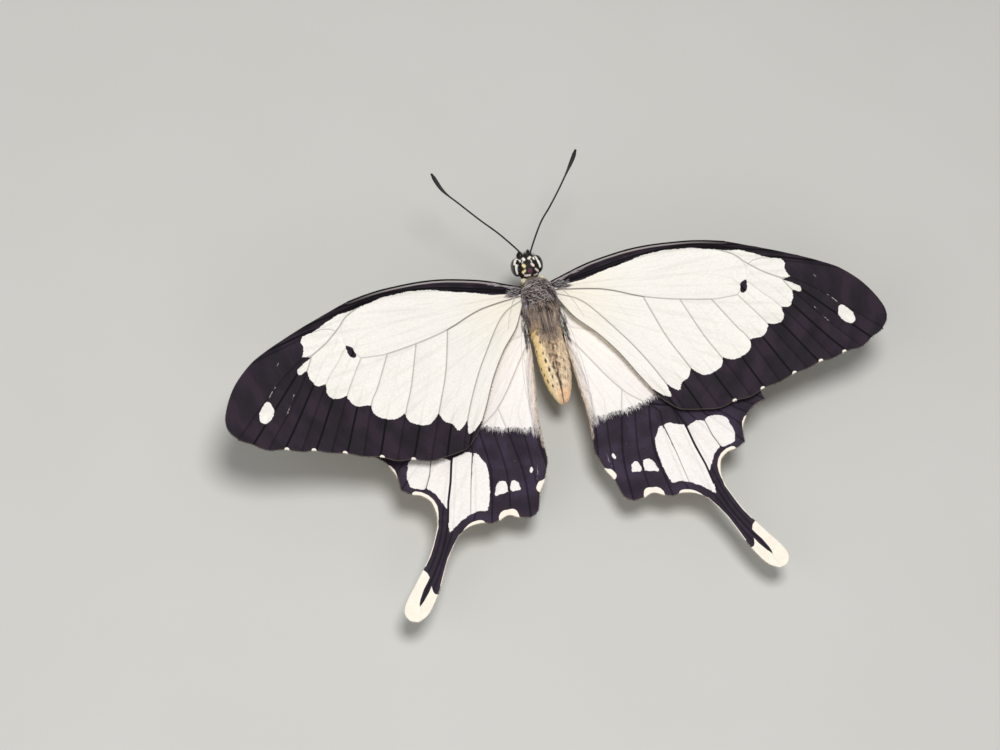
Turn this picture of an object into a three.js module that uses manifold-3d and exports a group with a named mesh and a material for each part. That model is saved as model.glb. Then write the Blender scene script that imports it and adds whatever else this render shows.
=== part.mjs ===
// A male mocker swallowtail butterfly, Papilio dardanus, life size, standing with its wings spread flat.
//
// Millimetres. In the insect's own frame +X is its left, +Y runs from head to tail and +Z is its back;
// the middle of the thorax is at the origin. Wing plans are [out, forward] from the middle of the back.
// The insect is then tipped a little head up and raised on its six legs, whose feet stand on Z = 0.
import * as THREE from 'three';
import { mergeVertices } from 'three/addons/utils/BufferGeometryUtils.js';
import Module from 'manifold-3d';

const wasm = await Module();
wasm.setup();

// Stance of the body.
const bodyHeight = 9.2;
const noseUp = 5;
const gap = 0.3;

// Wings: membrane thickness, height and half width of a vein ridge, and the sag between two veins.
const membrane = 0.5;
const veinHeight = 0.14;
const veinFoot = 0.42;
const pleat = 0.12;
const arch = 0.35;
const span = 47;
const stations = 12;
const tailStations = 9;
const tailTip = [25.1, -43.3];

// How each wing is held: hinge point, dihedral lift, drop of the rear edge and forward sweep, in degrees.
const foreHinge = [3, 0, 1];
const hindHinge = [3, -4, -0.6];
const wingPose = {
  left: { fore: { lift: 9.5, drop: 5.3, sweep: 0.7 }, hind: { lift: 2.5, drop: -0.2, sweep: 4 } },
  right: { fore: { lift: 4.7, drop: 2.9, sweep: -0.7 }, hind: { lift: 2.7, drop: -0.2, sweep: -4 } },
};

// Body sections, front to back: [along Y, half width, half height, middle height].
const headSections = [
  [-7.6, 0.6, 0.7, -0.6],
  [-7.3, 1.05, 1.15, -0.55],
  [-6.7, 1.5, 1.6, -0.5],
  [-5.9, 1.7, 1.75, -0.45],
  [-5.0, 1.6, 1.6, -0.4],
  [-4.3, 1.25, 1.3, -0.4],
  [-3.95, 0.95, 1.05, -0.4],
];
const thoraxSections = [
  [-3.6, 1.1, 1.3, -0.5],
  [-3.3, 1.6, 1.85, -0.5],
  [-2.7, 2.1, 2.4, -0.45],
  [-1.9, 2.5, 2.85, -0.3],
  [-1.0, 2.7, 3.12, -0.2],
  [0.0, 2.75, 3.25, -0.15],
  [1.4, 2.62, 3.1, -0.2],
  [2.5, 2.3, 2.65, -0.35],
  [3.2, 1.85, 2.1, -0.5],
];
const abdomenStart = 3.5;
const abdomenEnd = 14.75;
const abdomenSegments = 8;
const abdomenRadii = [1.85, 2.1, 2.2, 2.24, 2.22, 2.1, 1.87, 1.45, 0.8];
const abdomenDrop = [-0.5, -1.45];
const segmentGroove = 0.08;
const claspCleft = { size: [0.32, 1.3, 3], out: 0.2 };

// Head parts.
const eye = { at: [1.5, -6.1, -0.7], radii: [0.85, 1.32, 1.38] };
const antennaThickness = { base: 0.5, club: 0.95, tip: 0.3 };
const clubStart = 0.72;
const clubFull = 0.93;
const antennae = {
  left: [[0.55, -6.7, 0.3], [0.8, -7.6, 0.85], [3.2, -10.3, 2.1], [5.7, -12.6, 3.2], [8.1, -15.1, 4.1],
    [10.1, -17.4, 4.7], [11.1, -20.1, 5]],
  right: [[0.5, -6.6, 0.25], [0.65, -7.4, 0.85], [2.6, -10.5, 2.9], [4.4, -12.4, 4.2], [6.3, -14.6, 5.3],
    [8.6, -17.6, 6.3], [9.6, -19.2, 6.5]],
};
const palp = {
  route: [[0.66, -6.9, -1.35], [0.72, -7.9, -1.25], [0.62, -8.1, -0.35]],
  thickness: [0.8, 0.55],
};
const proboscis = { centre: [-7.1, -3.5], outer: 1.45, inner: 0.35, turns: 1.45, thickness: 0.5 };

// Legs in the standing frame: [out, along Y, up] of each joint, and the thickness at each joint.
const legs = {
  front: {
    hip: [0.95, -3.0, 6.9],
    trochanter: [1.6, -3.3, 5.4],
    knee: [5.0, -3.2, 6.4],
    ankle: [6.6, -3.4, 0.75],
    toe: [9.2, -5.2, 0.2],
  },
  middle: {
    hip: [1.3, -0.6, 6.6],
    trochanter: [2.1, -0.3, 5.1],
    knee: [6.0, 0.9, 6.6],
    ankle: [8.3, 1.9, 0.75],
    toe: [11.4, 3.1, 0.2],
  },
  hind: {
    hip: [1.2, 1.8, 6.7],
    trochanter: [2.0, 2.8, 5.0],
    knee: [5.6, 7.6, 6.3],
    ankle: [7.6, 12.6, 0.75],
    toe: [8.9, 16.9, 0.2],
  },
};
// Thickness along a limb: at a share of the way from one joint to another.
const limbStations = [
  ['hip', 'hip', 0, 1.5],
  ['trochanter', 'trochanter', 0, 1.0],
  ['trochanter', 'knee', 0.12, 0.8],
  ['trochanter', 'knee', 0.45, 0.95],
  ['trochanter', 'knee', 0.93, 0.7],
  ['knee', 'ankle', 0.06, 0.67],
  ['knee', 'ankle', 0.94, 0.55],
];
// How far each foot is set back from its place.
const stride = {
  left: { front: 0.4, middle: -0.3, hind: 0.5 },
  right: { front: -0.3, middle: 0.4, hind: -0.4 },
};
const kneeShift = 0.4;
// A foot's joints, the share of each at which it is thinnest, and how far each comes down to the floor.
const foot = { joints: 5, waist: 0.3, thickness: 0.5, waistThickness: 0.43, tipThickness: 0.4, fall: 0.25 };
const claw = { inset: 0.2, lean: 0.5, length: 0.75, thickness: 0.42 };
const spur = { inset: 0.12, lean: 0.4, length: 1.1, thickness: 0.36 };
const spikeTaper = [[0, 1], [0.6, 0.7], [1, 0.25]];

// Colours of the insect's parts.
const coats = {
  cream: { color: 0xe6dcc0, roughness: 0.8 },
  black: { color: 0x2b2226, roughness: 0.75 },
  fur: { color: 0x5c5148, roughness: 0.95 },
  abdomen: { color: 0xcbb083, roughness: 0.9 },
  eye: { color: 0x2a1812, roughness: 0.2 },
  leg: { color: 0x3a2c22, roughness: 0.6 },
};

// ---- small tools ----

const radians = THREE.MathUtils.degToRad;

// A smooth curve in the wing plan through a few points, cut into equal steps.
function sampled(points, steps = stations) {
  return new THREE.SplineCurve(planPoints(points)).getSpacedPoints(steps);
}

function planPoints(points) {
  return points.map(([x, y]) => new THREE.Vector2(x, y));
}

// A vein or fold that shares a stem up to one station and then runs on its own to the wing's edge.
function branch(stem, leaves, path, last = stations) {
  const start = stem[leaves];
  const own = sampled([[start.x, start.y], ...path], last - leaves);
  return [...stem.slice(0, leaves + 1), ...own.slice(1)];
}

// The same, where the vein runs so close to its neighbour that it has one station beside each of its own.
function closeBranch(stem, leaves, path) {
  return [...stem.slice(0, leaves + 1), ...planPoints(path)];
}

function toSolid(geometry) {
  const bare = geometry.clone();
  bare.deleteAttribute('normal');
  bare.deleteAttribute('uv');
  const merged = mergeVertices(bare, 1e-4);
  const mesh = new wasm.Mesh({
    numProp: 3,
    vertProperties: new Float32Array(merged.attributes.position.array),
    triVerts: new Uint32Array(merged.index.array),
  });
  return new wasm.Manifold(mesh);
}

function toGeometry(solid) {
  const mesh = solid.getMesh();
  const geometry = new THREE.BufferGeometry();
  geometry.setAttribute('position', new THREE.BufferAttribute(new Float32Array(mesh.vertProperties), 3));
  geometry.setIndex(new THREE.BufferAttribute(new Uint32Array(mesh.triVerts), 1));
  geometry.computeVertexNormals();
  return geometry;
}

// The largest closed piece of a solid, so that a cut leaves no loose scrap.
function largest(solid) {
  const pieces = solid.decompose();
  return pieces.reduce((best, piece) => (piece.volume() > best.volume() ? piece : best));
}

function cutClear(geometry, ...obstacles) {
  const cut = obstacles.reduce((solid, obstacle) => solid.subtract(obstacle), toSolid(geometry));
  return toGeometry(largest(cut));
}

function fused(...geometries) {
  return geometries.map(toSolid).reduce((whole, piece) => whole.add(piece));
}

function indexed(vertices, triangles) {
  const geometry = new THREE.BufferGeometry();
  geometry.setAttribute('position', new THREE.Float32BufferAttribute(vertices.flat(), 3));
  geometry.setIndex(triangles.flat());
  geometry.computeVertexNormals();
  return geometry;
}

// A closed skin over equal rings of points, with a flat fan at each end.
function skinned(rings) {
  const sides = rings[0].length;
  const vertices = rings.flat().map((p) => [p.x, p.y, p.z]);
  const triangles = [];
  for (let ring = 0; ring < rings.length - 1; ring += 1) {
    for (let side = 0; side < sides; side += 1) {
      const a = ring * sides + side;
      const b = ring * sides + ((side + 1) % sides);
      triangles.push([a, b, b + sides], [a, b + sides, a + sides]);
    }
  }
  for (const [ring, flip] of [[0, true], [rings.length - 1, false]]) {
    const middle = rings[ring].reduce((sum, p) => sum.add(p), new THREE.Vector3()).divideScalar(sides);
    const hub = vertices.push([middle.x, middle.y, middle.z]) - 1;
    for (let side = 0; side < sides; side += 1) {
      const a = ring * sides + side;
      const b = ring * sides + ((side + 1) % sides);
      triangles.push(flip ? [b, a, hub] : [a, b, hub]);
    }
  }
  return indexed(vertices, triangles);
}

// Upright oval sections along Y, each grown by a margin.
function ovalBody(sections, sides, grow = 0) {
  const last = sections.length - 1;
  const rings = sections.map(([y, halfWidth, halfHeight, middle], i) => {
    const shift = i === 0 ? -grow : i === last ? grow : 0;
    return Array.from({ length: sides }, (_, side) => {
      const angle = (side * 2 * Math.PI) / sides;
      return new THREE.Vector3(
        (halfWidth + grow) * Math.sin(angle),
        y + shift,
        middle + (halfHeight + grow) * Math.cos(angle),
      );
    });
  });
  return skinned(rings);
}

// A round tube through a list of points, with a thickness at each point.
function tube(points, thickness, sides) {
  const path = points.map((p) => new THREE.Vector3(...p));
  const rings = [];
  let across = null;
  path.forEach((point, i) => {
    const before = path[Math.max(i - 1, 0)];
    const after = path[Math.min(i + 1, path.length - 1)];
    const along = after.clone().sub(before).normalize();
    if (!across) {
      across = Math.abs(along.z) > 0.9 ? new THREE.Vector3(1, 0, 0) : new THREE.Vector3(0, 0, 1);
    }
    across = across.clone().addScaledVector(along, -across.dot(along)).normalize();
    const other = along.clone().cross(across);
    const radius = thickness[i] / 2;
    rings.push(Array.from({ length: sides }, (_, side) => {
      const angle = (side * 2 * Math.PI) / sides;
      return point.clone()
        .addScaledVector(across, radius * Math.cos(angle))
        .addScaledVector(other, radius * Math.sin(angle));
    }));
  });
  return skinned(rings);
}

function mirrored(point, side) {
  return side === 'left' ? point : [-point[0], point[1], point[2]];
}

// ---- wing veins, [out, forward] ----

function forewingRays() {
  const radial = planPoints([
    [2.4, 1.6], [8.5, 2.3], [15, 3.1], [22, 2.9], [26.7, 1.7], [29.4, -0.4], [29.3, -3.5],
  ]);
  const cubital = planPoints([
    [2.5, 1.0], [8.9, -0.3], [14.35, -2.7], [19.3, -4.2], [23.65, -5.15], [25.6, -5.3], [27.45, -5.3],
  ]);
  const stalk = closeBranch(radial, 5, [[31.8, -2.6], [34.25, -4.2]]);
  return {
    costa: planPoints([[2.2, 2.4], [8.3, 4.0], [15, 4.68], [21.3, 4.25], [25, 3.6], [27.7, 2.9]]),
    subcosta: planPoints([[2.3, 2.0], [8.4, 3.1], [15, 3.95], [21.4, 3.75], [25, 3.25], [27.7, 2.9]]),
    radius1: closeBranch(radial, 2, [[21.8, 3.3], [25.9, 2.5], [29.4, 1.6], [32, 1.12]]),
    radius2: closeBranch(radial, 3, [[26.6, 2.1], [29.8, 0.95], [32.3, 0.2], [35, -0.55], [37.6, -1.4]]),
    radius3: closeBranch(radial, 5, [[32, -0.95], [35.3, -1.75], [39, -3], [42.8, -4.35]]),
    radius4: branch(stalk, 7, [[36.3, -4.9], [40.2, -8.2], [46.3, -14.4]]),
    radius5: branch(stalk, 7, [[35.3, -6.3], [38, -10.4], [42.6, -16.4]]),
    media1: branch(radial, 6, [[31, -5.8], [33, -8.3], [38.2, -17.2]]),
    media2: branch(cubital, 6, [[30.5, -10.4], [34.2, -17.9]]),
    media3: branch(cubital, 4, [[26, -9.7], [27.4, -12.1], [29.9, -18.95]]),
    cubitus1: branch(cubital, 3, [[21.2, -10], [22.9, -13.9], [25.4, -20.15]]),
    cubitus2: branch(cubital, 2, [[16, -8.9], [18.2, -14.4], [20.7, -20.8]]),
    anal: sampled([[2.6, 0.4], [6, -1.65], [9.7, -6.9], [12.1, -11], [14.3, -15.8], [15.8, -19.95]]),
    inner: sampled([
      [2.6, -0.4], [4.2, -3.5], [6.7, -6.5], [9, -10], [10.9, -13.8], [12.7, -17.1], [14, -18.7],
    ]),
  };
}

// The membrane between each pair of neighbours, front to back: points across it, and its stretch of edge.
const forewingStrips = [
  ['costa', 'subcosta', 0, []],
  ['subcosta', 'radius1', 0, [[29.7, 2.12]]],
  ['radius1', 'radius2', 0, [[34.8, -0.05]]],
  ['radius2', 'radius3', 0, [[40.3, -2.75]]],
  ['radius3', 'radius4', 3, [[45.4, -7], [47.1, -10.1], [47.55, -12.5]]],
  ['radius4', 'radius5', 1, [[44.6, -15.25]]],
  ['radius5', 'media1', 1, [[40.4, -16.55]]],
  ['media1', 'media2', 2, [[36.3, -17.25]]],
  ['media2', 'media3', 1, [[32.1, -18.2]]],
  ['media3', 'cubitus1', 1, [[27.6, -19.3]]],
  ['cubitus1', 'cubitus2', 1, [[23.1, -20.25]]],
  ['cubitus2', 'anal', 2, [[18.3, -20.45]]],
  ['anal', 'inner', 1, [[14.9, -19.5]]],
];

function hindwingRays() {
  const radial = planPoints([
    [2.5, -4.0], [6.5, -5.4], [9.8, -7.6], [12.8, -10.2], [15, -12.6], [16.4, -14.6], [16.6, -16.9],
  ]);
  const cubital = planPoints([
    [2.6, -5.0], [4.9, -8.6], [7.0, -12], [8.9, -14.6], [10.4, -16], [12.2, -17.2], [15.2, -18],
  ]);
  return {
    costa: planPoints([
      [2.4, -0.9], [6.5, -2.6], [11.5, -4.7], [16, -7.4], [20, -10.2], [23.3, -12.9], [26.2, -15.5],
    ]),
    subcosta: closeBranch(radial, 1, [[11, -6.6], [15.3, -9], [19.4, -11.4], [23, -13.7], [26.2, -15.5]]),
    sector: closeBranch(radial, 2, [
      [14.1, -9.9], [18, -12.3], [21.5, -14.5], [24.6, -16.5], [26.7, -17.9], [28.5, -19.1],
    ]),
    media1: branch(radial, 5, [[21, -17.6], [25.6, -20.7]], 9),
    media2: branch(radial, 6, [[20.4, -20.7], [24.3, -24.8]]),
    outerFold: branch(cubital, 6, [[17.9, -22.8], [20, -28.6]]),
    media3: branch(cubital, 6, [[16.6, -21.4], [17.9, -26.5], [18.8, -30.4]]),
    innerFold: branch(cubital, 6, [[15.6, -22], [16.7, -27.5], [17.7, -32.2]]),
    cubitus1: branch(cubital, 5, [[11.7, -21], [11.6, -24], [12.1, -27.3], [12.8, -31]]),
    cubitus2: branch(cubital, 3, [[7.8, -20], [7.1, -25], [7.3, -30.8]]),
    anal: sampled([[2.5, -5.7], [4.1, -12], [4.3, -18], [3.7, -23.9]]),
    inner: sampled([[2.5, -6.4], [2.75, -9.3], [3, -12], [3.4, -15.5], [3.5, -18.5], [3.4, -22]]),
    tailOuter: sampled([
      [20, -28.6], [20.3, -30.6], [22, -34.4], [24.2, -37.6], [26.2, -40.4], [26.7, -41.8],
      [26.2, -42.9], tailTip,
    ], tailStations),
    tailMid: sampled([[18.8, -30.4], [20.2, -34], [21.9, -37.1], [23.8, -40], tailTip], tailStations),
    tailInner: sampled([
      [17.7, -32.2], [19.6, -35.1], [21.3, -38.8], [22.6, -41.1], [23.8, -42.6], tailTip,
    ], tailStations),
  };
}

const hindwingStrips = [
  ['costa', 'subcosta', 0, []],
  ['subcosta', 'sector', 1, [[27.8, -17]]],
  ['sector', 'media1', 1, [[26.9, -19.65]]],
  ['media1', 'media2', 1, [[24.5, -22.6]]],
  ['media2', 'outerFold', 2, [[23, -25.5], [21.7, -25.8], [20.5, -26.8]]],
  ['outerFold', 'media3', 0, []],
  ['media3', 'innerFold', 0, []],
  ['innerFold', 'cubitus1', 2, [[16.5, -31.3], [15.2, -30.8], [13.9, -30.7]]],
  ['cubitus1', 'cubitus2', 2, [[11.6, -30.6], [10.2, -30.02], [8.9, -30.5]]],
  ['cubitus2', 'anal', 2, [[6.2, -30.1], [5.7, -28.8], [5.3, -27.3], [4.4, -25.8]]],
  ['anal', 'inner', 0, [[3.4, -23]]],
  ['tailOuter', 'tailMid', 0, []],
  ['tailMid', 'tailInner', 0, []],
];

// ---- wing membrane with its veins ----

// The folds and free edges that carry no vein.
const smoothRays = ['inner', 'outerFold', 'innerFold', 'tailOuter', 'tailInner'];

// Points across one strip at one station, from one vein's crest to the next.
function crossing(from, to, mids, ridged, edge) {
  const width = from.distanceTo(to);
  if (width < 1e-4) {
    return [{ at: from, crest: 1, sag: 0 }, { at: to, crest: 1, sag: 0 }];
  }
  const foot = Math.min(veinFoot / width, 0.3);
  const shares = [0];
  if (ridged[0]) {
    shares.push(foot);
  }
  const low = ridged[0] ? foot : 0;
  const high = ridged[1] ? 1 - foot : 1;
  for (let i = 1; i <= mids; i += 1) {
    shares.push(low + ((high - low) * i) / (mids + 1));
  }
  if (ridged[1]) {
    shares.push(1 - foot);
  }
  shares.push(1);
  const line = edge ? new THREE.SplineCurve([from, ...planPoints(edge), to]) : null;
  return shares.map((share, i) => {
    const onEnd = i === 0 ? ridged[0] : i === shares.length - 1 ? ridged[1] : false;
    const at = line ? line.getPointAt(share) : from.clone().lerp(to, share);
    return { at, crest: onEnd ? 1 : 0, sag: pleat * Math.min(width / 4, 1) * Math.sin(Math.PI * share) };
  });
}

// A wing's upper face as plan points with a height, joined into triangles; the lower face repeats them.
function wingSheet(rays, strips, closes) {
  const points = [];
  const lookup = new Map();
  const triangles = [];
  const place = ({ at, crest, sag }) => {
    const key = `${at.x.toFixed(3)},${at.y.toFixed(3)}`;
    if (!lookup.has(key)) {
      lookup.set(key, points.push({ out: at.x, forward: at.y, crest, sag }) - 1);
    }
    const point = points[lookup.get(key)];
    point.crest = Math.max(point.crest, crest);
    point.sag = Math.min(point.sag, sag);
    return lookup.get(key);
  };
  for (const [first, second, mids, edge] of strips) {
    const ridged = [!smoothRays.includes(first), !smoothRays.includes(second)];
    const last = Math.max(rays[first].length, rays[second].length) - 1;
    const rows = [];
    for (let station = 0; station <= last; station += 1) {
      const from = rays[first][Math.min(station, rays[first].length - 1)];
      const to = rays[second][Math.min(station, rays[second].length - 1)];
      const row = crossing(from, to, mids, ridged, station === last && edge.length ? edge : null);
      if (closes.between === first && closes.station === station) {
        row.forEach((point) => {
          point.crest = 1;
          point.sag = 0;
        });
      }
      rows.push(row.map(place));
    }
    for (let station = 0; station < last; station += 1) {
      joinRows(rows[station], rows[station + 1], triangles);
    }
  }
  return { points, triangles };
}

// Triangles between two rows of points; a row whose ends meet is a single point.
function joinRows(near, far, triangles) {
  const count = Math.max(near.length, far.length) - 1;
  const pick = (row, i) => (row.length > 2 || row[0] !== row[1] ? row[Math.min(i, row.length - 1)] : row[0]);
  for (let i = 0; i < count; i += 1) {
    const a = pick(near, i);
    const b = pick(far, i);
    const c = pick(far, i + 1);
    const d = pick(near, i + 1);
    for (const triangle of [[a, b, c], [a, c, d]]) {
      if (new Set(triangle).size === 3) {
        triangles.push(triangle);
      }
    }
  }
}

// Both faces of the sheet and a wall round its free edge, as one closed mesh in the insect's frame.
function wingGeometry(sheet, hinge, pose, side) {
  const turn = new THREE.Matrix4().makeRotationY(-radians(pose.lift))
    .multiply(new THREE.Matrix4().makeRotationX(-radians(pose.drop)))
    .multiply(new THREE.Matrix4().makeRotationZ(-radians(pose.sweep)));
  const seat = (point, face) => {
    const rise = arch * Math.sin((Math.PI * point.out) / span) - point.sag;
    const taper = 1 - (0.4 * point.out) / span;
    const half = membrane / 2 + veinHeight * taper * point.crest;
    const p = new THREE.Vector3(point.out - hinge[0], hinge[1] - point.forward, rise + face * half);
    p.applyMatrix4(turn).add(new THREE.Vector3(hinge[0], -hinge[1], hinge[2]));
    return mirrored([p.x, p.y, p.z], side);
  };
  const count = sheet.points.length;
  const vertices = [...sheet.points.map((p) => seat(p, 1)), ...sheet.points.map((p) => seat(p, -1))];
  const triangles = [];
  const edges = new Map();
  for (const [a, b, c] of sheet.triangles) {
    triangles.push([a, b, c], [a + count, c + count, b + count]);
    for (const [from, to] of [[a, b], [b, c], [c, a]]) {
      edges.set(`${from},${to}`, [from, to]);
    }
  }
  for (const [from, to] of edges.values()) {
    if (!edges.has(`${to},${from}`)) {
      triangles.push([from, from + count, to + count], [from, to + count, to]);
    }
  }
  const facing = side === 'left' ? triangles : triangles.map(([a, b, c]) => [a, c, b]);
  return indexed(vertices, facing);
}

// ---- body ----

function abdomenSections() {
  const sections = [];
  const pieces = abdomenSegments * 2;
  for (let i = 0; i <= pieces; i += 1) {
    const share = i / pieces;
    const place = share * (abdomenRadii.length - 1);
    const low = Math.min(Math.floor(place), abdomenRadii.length - 2);
    const radius = THREE.MathUtils.lerp(abdomenRadii[low], abdomenRadii[low + 1], place - low);
    const groove = i % 2 === 0 && i > 0 && i < pieces ? segmentGroove : 0;
    const drop = THREE.MathUtils.lerp(abdomenDrop[0], abdomenDrop[1], share * share);
    const along = THREE.MathUtils.lerp(abdomenStart, abdomenEnd, share);
    sections.push([along, radius - groove, radius * 0.97 - groove, drop]);
  }
  return sections;
}

function abdomenGeometry() {
  const cleft = new THREE.BoxGeometry(...claspCleft.size);
  cleft.translate(claspCleft.out, abdomenEnd, abdomenDrop[1]);
  return cutClear(ovalBody(abdomenSections(), 16), toSolid(cleft));
}

function eyeGeometry(side, grow = 0) {
  const ball = new THREE.SphereGeometry(1, 16, 10);
  ball.rotateX(Math.PI / 2);
  ball.scale(eye.radii[0] + grow, eye.radii[1] + grow, eye.radii[2] + grow);
  ball.translate(...mirrored(eye.at, side));
  return mergeVertices(ball);
}

// Evenly spaced points on a smooth curve, on one side of the body.
function route3d(points, side, steps) {
  const curve = new THREE.CatmullRomCurve3(points.map((p) => new THREE.Vector3(...mirrored(p, side))));
  return curve.getSpacedPoints(steps).map((p) => p.toArray());
}

function antennaGeometry(side) {
  const steps = 15;
  const points = route3d(antennae[side], side, steps);
  const thickness = points.map((_, i) => {
    const share = i / steps;
    const swell = THREE.MathUtils.smoothstep(share, clubStart, clubFull);
    const full = THREE.MathUtils.lerp(antennaThickness.base, antennaThickness.club, swell);
    return share === 1 ? antennaThickness.tip : full;
  });
  return tube(points, thickness, 8);
}

function palpGeometry(side) {
  const steps = 6;
  const points = route3d(palp.route, side, steps);
  const thickness = points.map((_, i) => THREE.MathUtils.lerp(...palp.thickness, i / steps));
  return tube(points, thickness, 8);
}

// A flat coil under the face: the spiral starts at the top and winds forward and down.
function proboscisGeometry() {
  const steps = 30;
  const points = Array.from({ length: steps + 1 }, (_, i) => {
    const share = i / steps;
    const angle = Math.PI / 2 + share * proboscis.turns * 2 * Math.PI;
    const radius = THREE.MathUtils.lerp(proboscis.outer, proboscis.inner, share);
    const [y, z] = proboscis.centre;
    return [0, y + radius * Math.cos(angle), z + radius * Math.sin(angle)];
  });
  return tube(points, points.map(() => proboscis.thickness), 6);
}

// ---- legs ----

function legGeometry(name, side) {
  const shift = stride[side][name];
  const joint = {};
  for (const [key, [out, along, up]] of Object.entries(legs[name])) {
    const share = { knee: kneeShift, ankle: 1, toe: 1 }[key] ?? 0;
    joint[key] = new THREE.Vector3(...mirrored([out, along + shift * share, up], side));
  }
  const { knee, ankle, toe } = joint;
  const points = [];
  const thickness = [];
  for (const [from, to, share, thick] of limbStations) {
    points.push(joint[from].clone().lerp(joint[to], share));
    thickness.push(thick);
  }
  for (let i = 0; i <= foot.joints; i += 1) {
    points.push(onFloor(ankle, toe, i));
    thickness.push(i === foot.joints ? foot.tipThickness : foot.thickness);
    if (i < foot.joints) {
      points.push(onFloor(ankle, toe, i + foot.waist));
      thickness.push(foot.waistThickness);
    }
  }
  const limb = tube(points.map((p) => p.toArray()), thickness, 7);
  const toeward = toe.clone().sub(ankle).setZ(0).normalize();
  const sideways = new THREE.Vector3(-toeward.y, toeward.x, 0);
  const clawRoot = toe.clone().addScaledVector(toeward, -claw.inset);
  const spurRoot = ankle.clone().lerp(knee, spur.inset);
  const shinward = ankle.clone().sub(knee).normalize();
  const spikes = [];
  for (const lean of [-1, 1]) {
    spikes.push(spike(clawRoot, toeward.clone().addScaledVector(sideways, lean * claw.lean), claw));
    if (name !== 'front') {
      spikes.push(spike(spurRoot, shinward.clone().addScaledVector(sideways, lean * spur.lean), spur));
    }
  }
  return fused(limb, ...spikes);
}

// A point of the foot: its joints come down onto the floor within the first two of them.
function onFloor(ankle, toe, joint) {
  const point = ankle.clone().lerp(toe, joint / foot.joints);
  point.z = Math.max(point.z - foot.fall * joint, toe.z);
  return point;
}

// A tapering spike with its root on a point inside the limb.
function spike(root, direction, { length, thickness }) {
  const way = direction.clone().normalize();
  const points = spikeTaper.map(([share]) => root.clone().addScaledVector(way, length * share).toArray());
  return tube(points, spikeTaper.map(([, width]) => thickness * width), 5);
}

// ---- assembly ----

function named(name, geometry, coat) {
  const mesh = new THREE.Mesh(geometry, new THREE.MeshStandardMaterial({ ...coat, metalness: 0 }));
  mesh.name = name;
  return mesh;
}

const sides = ['left', 'right'];
const insect = new THREE.Group();
insect.rotation.x = -radians(noseUp);
insect.position.z = bodyHeight;
insect.updateMatrixWorld(true);

const thoraxClear = toSolid(ovalBody(thoraxSections, 20, gap));
const abdomenClear = toSolid(ovalBody(abdomenSections(), 16, gap));
const headClear = toSolid(ovalBody(headSections, 16, gap));
const eyesClear = sides.map((side) => toSolid(eyeGeometry(side, gap)));

insect.add(named('thorax', ovalBody(thoraxSections, 20), coats.fur));
insect.add(named('abdomen', abdomenGeometry(), coats.abdomen));
insect.add(named('head', cutClear(ovalBody(headSections, 16), ...eyesClear), coats.black));
insect.add(named('proboscis', cutClear(proboscisGeometry(), headClear), coats.leg));

const foreSheet = wingSheet(forewingRays(), forewingStrips, { between: 'media1', station: 6 });
const hindSheet = wingSheet(hindwingRays(), hindwingStrips, { between: 'media2', station: 6 });
for (const side of sides) {
  const pose = wingPose[side];
  insect.add(named(`eye_${side}`, eyeGeometry(side), coats.eye));
  insect.add(named(`antenna_${side}`, cutClear(antennaGeometry(side), headClear, ...eyesClear), coats.black));
  insect.add(named(`palp_${side}`, cutClear(palpGeometry(side), headClear, ...eyesClear), coats.black));
  const fore = wingGeometry(foreSheet, foreHinge, pose.fore, side);
  const hind = wingGeometry(hindSheet, hindHinge, pose.hind, side);
  insect.add(named(`forewing_${side}`, cutClear(fore, thoraxClear), coats.cream));
  insect.add(named(`hindwing_${side}`, cutClear(hind, thoraxClear, abdomenClear), coats.cream));
}

const butterfly = new THREE.Group();
butterfly.add(insect);
const standingThorax = thoraxClear.transform(insect.matrixWorld.elements);
const underfoot = toSolid(new THREE.BoxGeometry(90, 90, 4).translate(0, 0, -2));
for (const name of Object.keys(legs)) {
  for (const side of sides) {
    const leg = legGeometry(name, side).subtract(standingThorax).subtract(underfoot);
    butterfly.add(named(`leg_${name}_${side}`, toGeometry(largest(leg)), coats.leg));
  }
}

// The origin is the middle of the footprint's box, on the floor.
const box = new THREE.Box3().setFromObject(butterfly, true);
butterfly.position.set(-(box.min.x + box.max.x) / 2, -(box.min.y + box.max.y) / 2, -box.min.z);

export default butterfly;
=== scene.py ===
import bpy
import numpy as np
from mathutils import Matrix, Vector


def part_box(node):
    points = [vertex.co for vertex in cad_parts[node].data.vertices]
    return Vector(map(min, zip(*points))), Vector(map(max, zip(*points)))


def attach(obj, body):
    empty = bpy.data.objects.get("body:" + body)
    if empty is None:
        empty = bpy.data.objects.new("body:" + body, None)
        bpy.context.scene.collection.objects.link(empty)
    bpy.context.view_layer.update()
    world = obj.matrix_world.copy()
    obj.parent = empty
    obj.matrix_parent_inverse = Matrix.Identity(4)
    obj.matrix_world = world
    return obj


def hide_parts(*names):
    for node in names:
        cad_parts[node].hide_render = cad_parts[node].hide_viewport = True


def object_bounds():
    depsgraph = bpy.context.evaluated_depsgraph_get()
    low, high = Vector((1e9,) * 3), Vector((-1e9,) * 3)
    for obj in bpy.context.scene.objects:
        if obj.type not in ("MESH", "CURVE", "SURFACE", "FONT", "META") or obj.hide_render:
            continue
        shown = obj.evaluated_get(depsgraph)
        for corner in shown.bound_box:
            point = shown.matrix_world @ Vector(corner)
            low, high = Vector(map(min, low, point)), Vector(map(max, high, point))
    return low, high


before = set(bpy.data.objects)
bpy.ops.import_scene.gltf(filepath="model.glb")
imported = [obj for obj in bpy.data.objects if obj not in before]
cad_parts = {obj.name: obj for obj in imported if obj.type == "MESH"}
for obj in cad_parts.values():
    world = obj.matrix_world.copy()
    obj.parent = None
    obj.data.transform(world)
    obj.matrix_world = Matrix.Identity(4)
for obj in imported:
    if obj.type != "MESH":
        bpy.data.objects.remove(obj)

# A male mocker swallowtail at rest with its wings spread, life size.
# Shapes are worked out in millimetres in the insect's own frame: +X left, +Y to the tail, +Z its back.
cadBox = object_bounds()
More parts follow.
